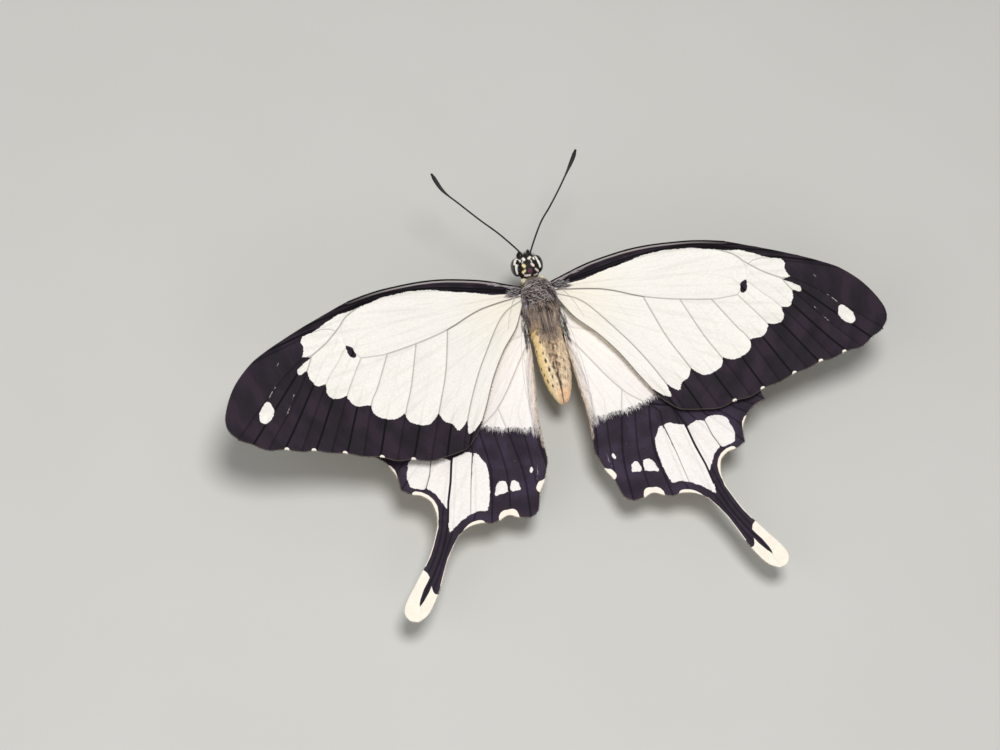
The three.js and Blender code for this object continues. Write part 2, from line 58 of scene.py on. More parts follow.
sides = ("left", "right")
flip = {"left": np.array([1.0, 1, 1]), "right": np.array([-1.0, 1, 1])}
overFloor = 0.004  # mm, the lowest that anything but the feet's soles comes

stance = {
    "noseUp": 5.0,  # degrees
    "axisFromThorax": (0.0, 0.208, 0.161),  # mm, from the middle of the thorax's box to the body's axis point
}
thoraxBox = [np.array(corner) * 1000 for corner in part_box("thorax")]
axisPoint = (thoraxBox[0] + thoraxBox[1]) / 2 + stance["axisFromThorax"]


def standing(points):
    # Insect's frame to the standing frame: y' = y cos a + z sin a, z' = z cos a - y sin a, moved to the
    # axis point
    turn = np.radians(stance["noseUp"])
    x, y, z = np.moveaxis(np.asarray(points, float), -1, 0)
    tipped = np.stack([x, y * np.cos(turn) + z * np.sin(turn), z * np.cos(turn) - y * np.sin(turn)], -1)
    return tipped + axisPoint


def lying(points):
    # The same the other way, from the standing frame to the insect's own
    turn = np.radians(stance["noseUp"])
    x, y, z = np.moveaxis(np.asarray(points, float) - axisPoint, -1, 0)
    return np.stack([x, y * np.cos(turn) - z * np.sin(turn), z * np.cos(turn) + y * np.sin(turn)], -1)


def linear(hexColour):
    # sRGB hex to linear light: c / 12.92 below 0.04045, else ((c + 0.055) / 1.055) to the power 2.4
    parts = [((hexColour >> shift) & 255) / 255 for shift in (16, 8, 0)]
    return (*[c / 12.92 if c <= 0.04045 else ((c + 0.055) / 1.055) ** 2.4 for c in parts], 1.0)


def addNode(tree, kind, settings=None, links=None):
    # A node with its own settings, its sockets' values and what feeds its sockets
    node = tree.nodes.new(kind)
    for key, value in (settings or {}).items():
        if isinstance(key, str) and hasattr(node, key):
            setattr(node, key, value)
        else:
            node.inputs[key].default_value = value
    for key, source in (links or {}).items():
        tree.links.new(source, node.inputs[key])
    return node


def newMaterial(name, settings):
    material = bpy.data.materials.new(name)
    material.use_nodes = True
    material.node_tree.nodes.clear()
    shader = addNode(material.node_tree, "ShaderNodeBsdfPrincipled", settings)
    addNode(material.node_tree, "ShaderNodeOutputMaterial", None, {"Surface": shader.outputs[0]})
    return material, material.node_tree, shader


def weld(points, triangles):
    # Points that share a place become one, and faces left with no width go; also gives each kept point's
    # first row
    keys = np.round(points * 2000).astype(np.int64)
    _, first, where = np.unique(keys, axis=0, return_index=True, return_inverse=True)
    where = where.reshape(-1)
    joined = where[triangles]
    full = (joined[:, 0] != joined[:, 1]) & (joined[:, 1] != joined[:, 2]) & (joined[:, 2] != joined[:, 0])
    return points[first], joined[full], first, full


def gridFaces(rows, columns, closed=False):
    # Two triangles for each square of a grid of points, wrapped round where it is closed
    r, c = np.meshgrid(np.arange(rows - 1), np.arange(columns if closed else columns - 1), indexing="ij")
    a = r * columns + c
    b = a + columns
    d = r * columns + (c + 1) % columns
    e = d + columns
    return np.concatenate([np.stack([a, b, e], -1).reshape(-1, 3), np.stack([a, e, d], -1).reshape(-1, 3)])


def facingOut(points, triangles):
    # A closed mesh with its faces turned outwards: the sum of the faces' tetrahedra with the middle is
    # above zero
    a, b, c = (points[triangles[:, k]] - points.mean(0) for k in range(3))
    return triangles if np.einsum("ij,ij->i", a, np.cross(b, c)).sum() > 0 else triangles[:, ::-1]


def makePiece(name, points, triangles, material, replaced=(), fields=None, uv=None, body="root"):
    # Points stand in millimetres; fields hold a number or a vector for each point, uv one place for each
    # corner
    mesh = bpy.data.meshes.new(name)
    mesh.vertices.add(len(points))
    mesh.vertices.foreach_set("co", (points * 0.001).astype(np.float32).ravel())
    mesh.loops.add(triangles.size)
    mesh.loops.foreach_set("vertex_index", triangles.astype(np.int32).ravel())
    mesh.polygons.add(len(triangles))
    mesh.polygons.foreach_set("loop_start", np.arange(0, triangles.size, 3, dtype=np.int32))
    mesh.polygons.foreach_set("use_smooth", np.ones(len(triangles), bool))
    mesh.update(calc_edges=True)
    for key, values in (fields or {}).items():
        vector = np.ndim(values) == 2
        attribute = mesh.attributes.new(key, "FLOAT_VECTOR" if vector else "FLOAT", "POINT")
        attribute.data.foreach_set("vector" if vector else "value", np.asarray(values, np.float32).ravel())
    if uv is not None:
        mesh.uv_layers.new(name="OFBake").data.foreach_set("uv", np.asarray(uv, np.float32).ravel())
    mesh.materials.append(material)
    piece = bpy.data.objects.new(name, mesh)
    bpy.context.scene.collection.objects.link(piece)
    if replaced:
        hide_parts(*replaced)
    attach(piece, body)


closeSteps = 60  # how finely a spline is cut before it is measured


def splineThrough(points, perSpan):
    # Catmull-Rom through the points: 0.5 (2b + (c-a)t + (2a-5b+4c-d)t^2 + (3b-a-3c+d)t^3), equal steps of t
    # in each span
    p = np.asarray(points, float)
    ends = np.vstack([p[:1], p, p[-1:]])
    a, b, c, d = (ends[k:len(p) - 1 + k, None, :] for k in range(4))
    t = (np.arange(perSpan) / perSpan)[None, :, None]
    curve = 0.5 * (2 * b + (c - a) * t + (2 * a - 5 * b + 4 * c - d) * t**2 + (3 * b - a - 3 * c + d) * t**3)
    return np.vstack([curve.reshape(-1, p.shape[1]), p[-1:]])


def evenSpline(points, steps, led=False):
    # The same curve cut into steps of equal length; where it is led, its first and last spans only set its
    # direction
    dense = splineThrough(points, closeSteps)
    if led:
        dense = dense[closeSteps:-closeSteps]
    travelled = np.concatenate([[0], np.cumsum(np.linalg.norm(np.diff(dense, axis=0), axis=1))])
    marks = np.linspace(0, travelled[-1], steps + 1)
    return np.stack([np.interp(marks, travelled, dense[:, k]) for k in range(dense.shape[1])], -1)


def gapTo(places, start, end):
    # Shortest distance from each place to a set of segments, and which of them it is: the place is dropped
    # onto each segment and kept within it
    along = end - start
    long = np.maximum((along**2).sum(1), 1e-12)
    best, nearest = np.empty(len(places)), np.empty(len(places), int)
    for lot in np.array_split(np.arange(len(places)), max(1, len(places) * len(start) // 1_500_000)):
        away = places[lot, None, :] - start[None]
        share = np.clip((away * along[None]).sum(2) / long, 0, 1)
        gap = ((away - share[..., None] * along[None])**2).sum(2)
        nearest[lot] = gap.argmin(1)
        best[lot] = np.sqrt(gap.min(1))
    return best, nearest


def distanceTo(places, line):
    line = np.asarray(line, float)
    return gapTo(places, line[:-1], line[1:])[0]


def depthInside(places, outline):
    # Distance to a closed outline, above zero inside it: a line to the right crosses the outline an odd
    # number of times
    ring = np.vstack([outline, outline[:1]])
    within = np.zeros(len(places), bool)
    for (x0, y0), (x1, y1) in zip(ring[:-1], ring[1:]):
        if y0 != y1:
            spans = (y0 > places[:, 1]) != (y1 > places[:, 1])
            within ^= spans & (places[:, 0] < x0 + (places[:, 1] - y0) * (x1 - x0) / (y1 - y0))
    return np.where(within, 1, -1) * distanceTo(places, ring)


# Wings: the plans are [out, forward] from the middle of the back
wings = {
    "stations": 12,  # steps of each vein from the hinge to the margin
    "tailStations": 9,
    "fine": 12,  # rows of faces in each step
    "membrane": 0.13,
    "veinRise": 0.07,
    "veinHalfWidth": 0.13,
    "veinColumns": (0.0, 0.08, 0.18),
    "columnWidth": 0.31,
    "rimSteps": 200,
    "foldFrom": 1.2,  # a strip this wide has a fold down its middle
    "pleat": 0.12,
    "arch": 0.35,
    "span": 47.0,
    "trim": 0.03,  # how far the drawn outline stays inside the plan's ends
    "ripple": 0.035,
    "tailTip": (25.1, -43.3),
    "foreHinge": (3.0, 0.0, 1.0),
    "hindHinge": (3.0, -4.0, -0.6),
    "held": {  # dihedral lift, drop of the rear edge and forward sweep, in degrees
        ("fore", "left"): (9.5, 5.3, 0.7),
        ("fore", "right"): (4.7, 2.9, -0.7),
        ("hind", "left"): (2.5, -0.2, 4.0),
        ("hind", "right"): (2.7, -0.2, -4.0),
    },
    "foldless": ("radius3",),  # the membrane behind this vein lies smooth
    "bareRays": (  # folds and free edges with no vein
        "inner", "outerFold", "innerFold", "tailOuter", "tailInner"),
    "scaleSize": (0.24, 0.15),  # about twice a real scale's, so that they show
    "scaleRelief": 0.03,
}


def branch(stem, leaves, path, last=wings["stations"]):
    # A vein that shares a stem up to one station and then runs on its own to the margin
    split = leaves * wings["fine"]
    own = evenSpline([stem[split], *path], (last - leaves) * wings["fine"])
    return np.vstack([stem[:split + 1], own[1:]])


def closeBranch(stem, leaves, path):
    # The same, where each station lies beside its neighbour's
    split = leaves * wings["fine"]
    return np.vstack([stem[:split + 1], splineThrough([stem[split], *path], wings["fine"])[1:]])


def forewingRays():
    fine, whole = wings["fine"], wings["stations"] * wings["fine"]
    radial = splineThrough([
        (2.4, 1.6), (8.5, 2.3), (15, 3.1), (22, 2.9), (26.7, 1.7), (29.4, -0.4), (29.3, -3.5)], fine)
    cubital = splineThrough([
        (2.5, 1.0), (8.9, -0.3), (14.35, -2.7), (19.3, -4.2), (23.65, -5.15), (25.6, -5.3),
        (27.45, -5.3)], fine)
    stalk = closeBranch(radial, 5, [(31.8, -2.6), (34.25, -4.2)])
    return {
        "costa": splineThrough([
            (2.2, 2.4), (8.3, 4.0), (15, 4.68), (21.3, 4.25), (25, 3.6), (27.7, 2.9)], fine),
        "subcosta": splineThrough([
            (2.3, 2.0), (8.4, 3.1), (15, 3.95), (21.4, 3.75), (25, 3.25), (27.7, 2.9)], fine),
        "radius1": closeBranch(radial, 2, [(21.8, 3.3), (25.9, 2.5), (29.4, 1.6), (32, 1.12)]),
        "radius2": closeBranch(radial, 3, [
            (26.6, 2.1), (29.8, 0.95), (32.3, 0.2), (35, -0.55), (37.6, -1.4)]),
        "radius3": closeBranch(radial, 5, [(32, -0.95), (35.3, -1.75), (39, -3), (42.8, -4.35)]),
        "radius4": branch(stalk, 7, [(36.3, -4.9), (40.2, -8.2), (46.3, -14.4)]),
        "radius5": branch(stalk, 7, [(35.3, -6.3), (38, -10.4), (42.6, -16.4)]),
        "media1": branch(radial, 6, [(31, -5.8), (33, -8.3), (38.2, -17.2)]),
        "media2": branch(cubital, 6, [(30.5, -10.4), (34.2, -17.9)]),
        "media3": branch(cubital, 4, [(26, -9.7), (27.4, -12.1), (29.9, -18.95)]),
        "cubitus1": branch(cubital, 3, [(21.2, -10), (22.9, -13.9), (25.4, -20.15)]),
        "cubitus2": branch(cubital, 2, [(16, -8.9), (18.2, -14.4), (20.7, -20.8)]),
        "anal": evenSpline([
            (2.6, 0.4), (6, -1.65), (9.7, -6.9), (12.1, -11), (14.3, -15.8), (15.8, -19.95)], whole),
        "inner": evenSpline([
            (2.6, -0.4), (4.2, -3.5), (6.7, -6.5), (9, -10), (10.9, -13.8), (12.7, -17.1),
            (14, -18.7)], whole),
    }


def hindwingRays():
    fine, whole = wings["fine"], wings["stations"] * wings["fine"]
    tail = wings["tailStations"] * fine
    tip = wings["tailTip"]
    radial = splineThrough([
        (2.5, -4.0), (6.5, -5.4), (9.8, -7.6), (12.8, -10.2), (15, -12.6), (16.4, -14.6),
        (16.6, -16.9)], fine)
    cubital = splineThrough([
        (2.6, -5.0), (4.9, -8.6), (7.0, -12), (8.9, -14.6), (10.4, -16), (12.2, -17.2), (15.2, -18)], fine)
    return {
        "costa": splineThrough([
            (2.4, -0.9), (6.5, -2.6), (11.5, -4.7), (16, -7.4), (20, -10.2), (23.3, -12.9),
            (26.2, -15.5)], fine),
        "subcosta": closeBranch(radial, 1, [
            (11, -6.6), (15.3, -9), (19.4, -11.4), (23, -13.7), (26.2, -15.5)]),
        "sector": closeBranch(radial, 2, [
            (14.1, -9.9), (18, -12.3), (21.5, -14.5), (24.6, -16.5), (26.7, -17.9), (28.5, -19.1)]),
        "media1": branch(radial, 5, [(21, -17.6), (25.6, -20.7)], 9),
        "media2": branch(radial, 6, [(20.4, -20.7), (24.3, -24.8)]),
        "outerFold": branch(cubital, 6, [(17.9, -22.8), (20, -28.6)]),
        "media3": branch(cubital, 6, [(16.6, -21.4), (17.9, -26.5), (18.8, -30.4)]),
        "innerFold": branch(cubital, 6, [(15.6, -22), (16.7, -27.5), (17.7, -32.2)]),
        "cubitus1": branch(cubital, 5, [(11.7, -21), (11.6, -24), (12.1, -27.3), (12.8, -31)]),
        "cubitus2": branch(cubital, 3, [(7.8, -20), (7.1, -25), (7.3, -30.8)]),
        "anal": evenSpline([(2.5, -5.7), (4.1, -12), (4.3, -18), (3.7, -23.9)], whole),
        "inner": evenSpline([
            (2.5, -6.4), (2.75, -9.3), (3, -12), (3.4, -15.5), (3.5, -18.5), (3.4, -22)], whole),
        "tailOuter": evenSpline([
            (20, -28.6), (20.3, -30.6), (22, -34.4), (24.2, -37.6), (26.2, -40.4), (26.7, -41.8),
            (26.2, -42.9), tip], tail),
        "tailMid": evenSpline([(18.8, -30.4), (20.2, -34), (21.9, -37.1), (23.8, -40), tip], tail),
        "tailInner": evenSpline([
            (17.7, -32.2), (19.6, -35.1), (21.3, -38.8), (22.6, -41.1), (23.8, -42.6), tip], tail),
    }


# The membrane between neighbours, front to back, each with its stretch of margin
forewingStrips = [
    ("costa", "subcosta", []),
    ("subcosta", "radius1", [(29.7, 2.12)]),
    ("radius1", "radius2", [(34.8, -0.05)]),
    ("radius2", "radius3", [(40.3, -2.75)]),
    ("radius3", "radius4", [(45.4, -7), (47.1, -10.1), (47.55, -12.5)]),
    ("radius4", "radius5", [(44.6, -15.25)]),
    ("radius5", "media1", [(40.4, -16.55)]),
    ("media1", "media2", [(36.3, -17.25)]),
    ("media2", "media3", [(32.1, -18.2)]),
    ("media3", "cubitus1", [(27.6, -19.3)]),
    ("cubitus1", "cubitus2", [(23.1, -20.25)]),
    ("cubitus2", "anal", [(18.3, -20.45)]),
    ("anal", "inner", [(14.9, -19.5)]),
]
hindwingStrips = [
    ("costa", "subcosta", []),
    ("subcosta", "sector", [(27.8, -17)]),
    ("sector", "media1", [(26.9, -19.65)]),
    ("media1", "media2", [(24.5, -22.6)]),
    ("media2", "outerFold", [(23, -25.5), (21.7, -25.8), (20.5, -26.8)]),
    ("outerFold", "media3", []),
    ("media3", "innerFold", []),
    ("innerFold", "cubitus1", [(16.5, -31.3), (15.2, -30.8), (13.9, -30.7)]),
    ("cubitus1", "cubitus2", [(11.6, -30.6), (10.2, -30.02), (8.9, -30.5)]),
    ("cubitus2", "anal", [(6.2, -30.1), (5.7, -28.8), (5.3, -27.3), (4.4, -25.8)]),
    ("anal", "inner", [(3.4, -23)]),
    ("tailOuter", "tailMid", []),
    ("tailMid", "tailInner", []),
]

# Markings in the same plan, as outlines; "field" is open towards the hinge and runs cell by cell; "inks"
# say how dark each vein is drawn where it crosses the cream
foreMarks = {
    "field": [
        [(4.4, 1.55), (6.7, 1.65), (9.3, 2.2), (12.6, 2.7), (16, 3.3), (19.5, 3.3), (22.8, 2.85), (25.5, 2.1),
         (27.2, 1.6), (30, 0.9), (33.2, -0.8), (35, -1.4)],
        [(35.35, -2.1), (35.05, -2.85), (35.5, -4.2)],
        [(34.25, -4.4), (36.4, -5.8), (36.4, -6.65), (35.4, -6.2)],
        [(35.2, -6.4), (35.05, -7.45), (34.3, -8.4), (33.7, -8.5), (33, -8.3)],
        [(33, -8.45), (33.1, -9.6), (32.5, -10.4), (31.5, -10.6), (30.5, -10.35)],
        [(30.5, -10.6), (29.9, -11.55), (29.2, -12), (28.3, -12), (27.4, -12.1)],
        [(27.4, -12.25), (27.2, -13.25), (25.9, -14.15), (24.2, -14.4), (23.05, -13.8)],
        [(23, -13.9), (22.4, -15.05), (20.7, -15.7), (19.4, -15.5), (18.2, -14.35)],
        [(18.15, -14.5), (17.5, -15.6), (16.5, -16.05), (15.95, -17), (15.15, -16.7), (14.3, -15.75)],
        [(14.3, -16), (14.5, -17.65), (13.5, -17.3), (12.4, -16.2)],
        [(9, -15), (0, -8), (0, 0.9)],
    ],
    "patches": [
        [(41.3, -9.85), (41.95, -10.1), (42.75, -11.15), (42.95, -12.25), (42.4, -12.75), (41.85, -12.6),
         (41.0, -11.8), (40.75, -10.9)],
    ],
    "crescents": [],
    "blots": [[(29.2, -3.42), (28.5, -3.6), (28.15, -4.2), (28.05, -4.98), (28.62, -5.1), (29.08, -4.55)]],
    "drawn": [  # a fine line, half its width and its ink at both ends, and whether the membrane rises with it
        ([(3.3, 1.1), (3.9, 0.3), (4.3, -0.4), (4.95, -1.85), (5.55, -3.8)], (0.05, 0.03), (0.6, 0.35), True),
        ([(29.3, -3.5), (28.1, -4.6), (27.45, -5.3)], (0.05, 0.05), (0.4, 0.4), True),
        ([(30.3, -1.02), (31.15, -0.7), (32.2, -0.7), (33.6, -1.0)], (0.045, 0.045), (0.5, 0.5), True),
    ],
    "dashes": [(23.2, -20.62), (27.52, -19.7), (32.35, -18.45), (36.4, -17.25), (40.05, -16.9)],
    "dashSize": (0.34, 0.3),
    "inks": {
        "costa": 0, "subcosta": 0, "radius1": 0, "radius2": 0.1, "radius3": 0, "radius4": 0.5, "radius5": 0.5,
        "media1": 0.2, "media2": 0.36, "media3": 0.44, "cubitus1": 0.46, "cubitus2": 0.5, "anal": 0.55,
    },
    "inkStarts": {"radius2": 60, "radius4": 47, "radius5": 47, "media1": 74},  # rows from the hinge
    "stem": ("cubitus2", 24, 0.8),  # the hind side of the cell near the hinge: the vein, its rows and its ink
    "flecks": [
        [(36.7, -2.4), (37.1, -2.2)], [(38.9, -4.6), (39.2, -5.1)],
        [(38.4, -6.6), (39.7, -7.6), (40.6, -8.6), (41.2, -9.4)],
        [(37.4, -8.8), (38.0, -9.9), (39.2, -12.0), (39.5, -12.6)], [(30.3, -15.2), (30.6, -15.9)],
    ],
    "lines": [],
}
hindMarks = {
    "field": [
        [(24, -9), (20.6, -11.6), (18, -13.4), (15.2, -15.6), (13.0, -16.1), (11.9, -16.75), (10.8, -17.05),
         (9.5, -17.4), (8.4, -17.7), (7, -17.6), (5.9, -18.0), (5.0, -18.0), (4.2, -17.6)],
        [(1, -17), (0, -10), (0, 0), (14, 0)],
    ],
    "patches": [
        [(13.4, -20.75), (13, -20.7), (12.05, -22.4), (11.9, -24.1), (12.25, -26.6), (12.75, -28.4),
         (13.1, -29.15), (14.2, -29.0), (15.45, -29.3), (14.55, -24.8)],
        [(13.6, -20.55), (14.4, -20.4), (15.4, -20.8), (16.6, -21.1), (17.3, -24.4), (18.15, -27.3),
         (18.7, -30), (18.8, -31.7), (17.8, -30.8), (16.65, -30), (15.45, -29.3), (14.5, -24.8)],
        [(16.8, -21.4), (18.2, -20.7), (19.4, -20.9), (20.05, -23.2), (20.8, -24.85), (19.65, -26),
         (18.9, -27.5), (18.55, -28.2), (18.2, -27.3), (17.4, -24.4)],
        [(19.4, -20.9), (21, -20.3), (22.4, -20.8), (22.9, -22), (23.2, -23.3), (22.9, -24.5), (22, -24.85),
         (20.95, -24.95), (20.05, -23.2)],
        [(11.6, -26.8), (11.15, -25.6), (10.7, -25.15), (10.05, -25.1), (9.72, -25.4), (9.7, -26.0),
         (9.75, -26.75), (10.4, -26.9), (11.0, -27.0), (11.6, -27.25)],
        [(9.3, -26.3), (9.05, -25.45), (8.6, -25.25), (8.2, -25.5), (7.97, -26.0), (7.98, -26.7),
         (8.5, -26.7), (9.15, -26.8)],
        [(5.6, -23.85), (5.75, -23.6), (6.02, -23.7), (6.15, -24.2), (6.0, -24.4), (5.75, -24.25)],
    ],
    "crescents": [
        [(23.12, -36.36), (23.6, -36.1), (24.9, -35.4), (29, -41), (27, -45), (23, -44), (20.9, -40.4),
         (21.7, -40.0), (22.3, -39.75), (22.45, -39.3), (22.5, -38.6), (22.95, -39.4), (23.9, -40.6),
         (24.75, -41.5), (24.35, -40.3), (23.6, -38.9), (22.9, -37.95), (22.55, -37.4), (22.75, -36.75)],
        [(4.2, -25.45), (4.75, -25.7), (5.15, -25.75), (5.5, -26.2), (5.75, -26.7), (5.62, -27.1),
         (5.3, -27.4), (4.6, -27.3), (3.8, -26.0)],
        [(11.65, -30.1), (11.3, -29.6), (10.8, -29.3), (10.3, -29.3), (9.7, -29.2), (9.3, -29.3),
         (9.0, -29.6), (8.85, -30.2), (8.8, -31.4), (11.8, -31.4)],
        [(13.72, -30.6), (13.93, -30.36), (14.5, -30.27), (15.35, -30.42), (16.0, -30.72), (16.65, -31.25),
         (17.2, -31.95), (17.3, -32.6), (13.6, -31.8)],
        [(22.95, -25.68), (22.75, -25.28), (22.38, -25.14), (21.48, -25.4), (20.68, -25.94), (20.1, -26.7),
         (19.77, -27.6), (19.77, -28.5), (19.95, -29.6), (20.35, -29.9), (21.5, -28), (23.2, -26.3)],
        [(25.7, -20.9), (25.05, -21.15), (24.6, -21.85), (24.42, -22.7), (24.6, -23.2), (25.2, -23.6),
         (26.5, -21.5)],
    ],
    "blots": [],
    "drawn": [
        ([(13.5, -20.3), (14.0, -22.4), (14.2, -23.3), (14.55, -24.8), (15.0, -27.1), (15.45, -29.5)],
         (0.075, 0.04), (1.0, 0.6), False),
        ([(16.5, -20.8), (16.75, -21.7), (17.35, -24.4), (18.2, -27.3), (18.75, -30.2)],
         (0.16, 0.14), (1.0, 1.0), False),
        ([(19.35, -20.6), (20.05, -23.2), (20.9, -25.1)], (0.07, 0.07), (0.75, 0.75), False),
        ([(3.1, -2.0), (3.8, -5.7), (4.3, -9.5), (4.5, -12.5), (4.4, -15), (4.3, -17)],
         (0.04, 0.04), (0.3, 0.3), True),
        ([(16.6, -16.9), (15.2, -18)], (0.04, 0.04), (0.2, 0.2), True),
    ],
    "dashes": [],
    "dashSize": (0.5, 0.2),
    "inks": {
        "costa": 0, "subcosta": 0.15, "sector": 0, "media1": 0, "media2": 0.1, "media3": 0.2,
        "cubitus1": 0.3, "cubitus2": 0.34, "anal": 0.3, "tailMid": 0,
    },
    "inkStarts": {},
    "stem": ("cubitus2", 36, 0.4),
    "flecks": [[(7.9, -22.4), (8.0, -22.6)], [(4.95, -23.5), (5.1, -24.6), (5.4, -25.5)]],
    "lines": [  # pale lines down the tail's two edges
        ([(19.98, -28.6), (20.28, -30.6), (21.4, -33.2), (22.0, -34.4), (22.9, -35.75)], 0.13),
        ([(17.4, -31.95), (18.6, -33.5), (19.62, -35.1), (20.6, -37.2), (21.3, -38.8)], 0.07),
    ],
}


outlineSteps = 6


def closedSpline(outline):
    # Smooth all the way round: the Catmull-Rom curve of the outline with its neighbours repeated at both ends
    wrapped = splineThrough([outline[-1], *outline, outline[0], outline[1]], outlineSteps)
    return wrapped[outlineSteps:-outlineSteps - 1]


def markDepth(plan, marks, edge, margin):
    # Depth inside the cream markings and inside the margin's crescents in mm, below zero outside: the
    # greatest depth over all outlines; a dash sits on the nearest point of the margin. Short outlines are
    # smooth all round; in the field, runs of three or more places are, but not the last
    field = np.vstack([
        splineThrough(run, outlineSteps) if len(run) > 2 and run[0][0] > 2 else np.array(run)
        for run in marks["field"]])
    cream = depthInside(plan, field)
    for outline in marks["patches"]:
        ring = closedSpline(outline) if len(outline) < 10 else np.array(outline)
        cream = np.maximum(cream, depthInside(plan, ring))
    for outline in marks["blots"]:
        cream = np.minimum(cream, -depthInside(plan, closedSpline(outline)))
    rimmed = np.full(len(plan), -9.0)
    for outline in marks["crescents"]:
        rimmed = np.maximum(rimmed, depthInside(plan, np.array(outline)))
    long, deep = marks["dashSize"]
    for place in marks["dashes"]:
        place = margin[np.linalg.norm(margin - place, axis=1).argmin()]
        rimmed = np.maximum(rimmed, np.minimum(long - np.linalg.norm(plan - place, axis=1), deep - edge))
    for line, half in marks["lines"]:
        rimmed = np.maximum(rimmed, half - distanceTo(plan, line))
    return cream, rimmed


def wingSheet(rays, strips, smooth):
    # Rows of points from one vein to the next at each station, p = near + share (far - near), the last step
    # eased onto the margin's curve, which is smooth or has a corner at each vein; columns stand close
    # beside a vein and evenly between
    fine = wings["fine"]
    points, sags, faces, middles, total = [], [], [], [], 0
    for row, (near, far, edge) in enumerate(strips):
        a, b = rays[near], rays[far]
        last = max(len(a), len(b)) - 1
        step = np.arange(last + 1)
        a, b = a[np.minimum(step, len(a) - 1)], b[np.minimum(step, len(b) - 1)]
        width = np.linalg.norm(b - a, axis=1)
        foot = np.array(wings["veinColumns"])
        squeeze = np.minimum(1 / np.maximum(width, 1e-6), 0.3 / foot[-1])[:, None]
        low = foot[None] * squeeze
        # the tail is as many columns wide as the row that it grows from
        broad = width[0] if near.startswith("tail") else width.max()
        parts = 2 * max(1, round(broad / wings["columnWidth"] / 2))
        evenly = np.linspace(0, 1, parts + 1)[None, 1:-1]
        first = low[:, -1:]
        shares = np.hstack([low, first + evenly * (1 - 2 * first), 1 - low[:, ::-1]])
        grid = a[:, None] + (b - a)[:, None] * shares[..., None]
        if edge:
            before = strips[row - 1][2][-1:] or [2 * a[-1] - edge[0]]
            after = strips[(row + 1) % len(strips)][2][:1] or [2 * b[-1] - edge[-1]]
            route = [*before, a[-1], *edge, b[-1], *after] if smooth else [a[-1], *edge, b[-1]]
            rim = evenSpline(route, wings["rimSteps"], smooth)
            ticks = np.linspace(0, 1, wings["rimSteps"] + 1)
            onRim = np.stack([np.interp(shares[-1], ticks, rim[:, k]) for k in (0, 1)], -1)
            ease = np.clip((step - last + fine) / fine, 0, 1)[:, None, None]
            grid = grid + ease * (onRim - grid[-1])[None]
        grid[:, 0], grid[:, -1] = a, b
        points.append(grid.reshape(-1, 2))
        sags.append((wings["pleat"] * np.minimum(width / 4, 1)[:, None] * np.sin(np.pi * shares)).ravel())
        faces.append(gridFaces(len(grid), grid.shape[1]) + total)
        total += grid.shape[0] * grid.shape[1]
        if width.max() > wings["foldFrom"] and near not in wings["foldless"]:
            middles.append(grid[:, grid.shape[1] // 2])
    plan, triangles, first, _ = weld(np.vstack(points), np.vstack(faces))
    return plan, triangles, np.concatenate(sags)[first], middles


def rimOf(triangles):
    # The directed sides that belong to one triangle only
    every = np.vstack([triangles[:, [0, 1]], triangles[:, [1, 2]], triangles[:, [2, 0]]])
    _, first, times = np.unique(np.sort(every, axis=1), axis=0, return_index=True, return_counts=True)
    return every[first[times == 1]]


def wingTurn(which, side):
    lift, drop, sweep = np.radians(wings["held"][which, side])
    return np.array(
        Matrix.Rotation(-lift, 3, "Y") @ Matrix.Rotation(-drop, 3, "X") @ Matrix.Rotation(-sweep, 3, "Z"))


def seatWing(plan, sag, vein, which, side):
    # Height = arch sin(pi out / span) - sag + ripple, half thickness = membrane / 2 + vein ridge; turned
    # about the hinge
    hinge = np.array(wings[which + "Hinge"])
    out, forward = plan.T
    out = np.minimum(out, plan[:, 0].max() - wings["trim"])
    rise = wings["arch"] * np.sin(np.pi * out / wings["span"]) - sag
    rise = rise + wings["ripple"] * np.sin(out * 0.9 + forward * 0.35) * np.sin(forward * 0.75 - out * 0.2)
    taper = 1 - 0.4 * out / wings["span"]
    ridge = wings["veinRise"] * taper * np.exp(-((vein / (wings["veinHalfWidth"] * taper)) ** 2))
    half = wings["membrane"] / 2 + ridge
    turn = wingTurn(which, side)
    faces = []
    for face in (1, -1):
        flat = np.stack([out - hinge[0], hinge[1] - forward, rise + face * half], -1)
        placed = flat @ turn.T + np.array([hinge[0], -hinge[1], hinge[2]])
        faces.append(placed * flip[side])
    return faces


def drawnFields(plan, drawn):
    # Distance to the nearest drawn line, above zero on its left and below on its right, so that the line
    # falls exactly where it crosses zero between the points; with half its width and its ink there, and no
    # ink off it
    side, half, ink, best = np.full((4, len(plan)), [[9.0], [0.0], [0.0], [9.0]])
    for line, halves, inks, _ in drawn:
        line = np.array(line)
        gap, row = gapTo(plan, line[:-1], line[1:])
        way, away = np.diff(line, axis=0)[row], plan - line[row]
        place = row + (away * way).sum(1) / (way**2).sum(1)
        share = np.clip(place / (len(line) - 1), 0, 1)
        nearer = gap < best
        on = (gap < 0.6) & (place > 0) & (place < len(line) - 1)
        side = np.where(nearer, gap * np.sign(way[:, 0] * away[:, 1] - way[:, 1] * away[:, 0]), side)
        half = np.where(nearer, np.interp(share, (0, 1), halves), half)
        ink = np.where(nearer, np.interp(share, (0, 1), inks) * on, ink)
        best = np.minimum(best, gap)
    return {"lineSide": side, "lineHalf": half, "lineInk": ink}


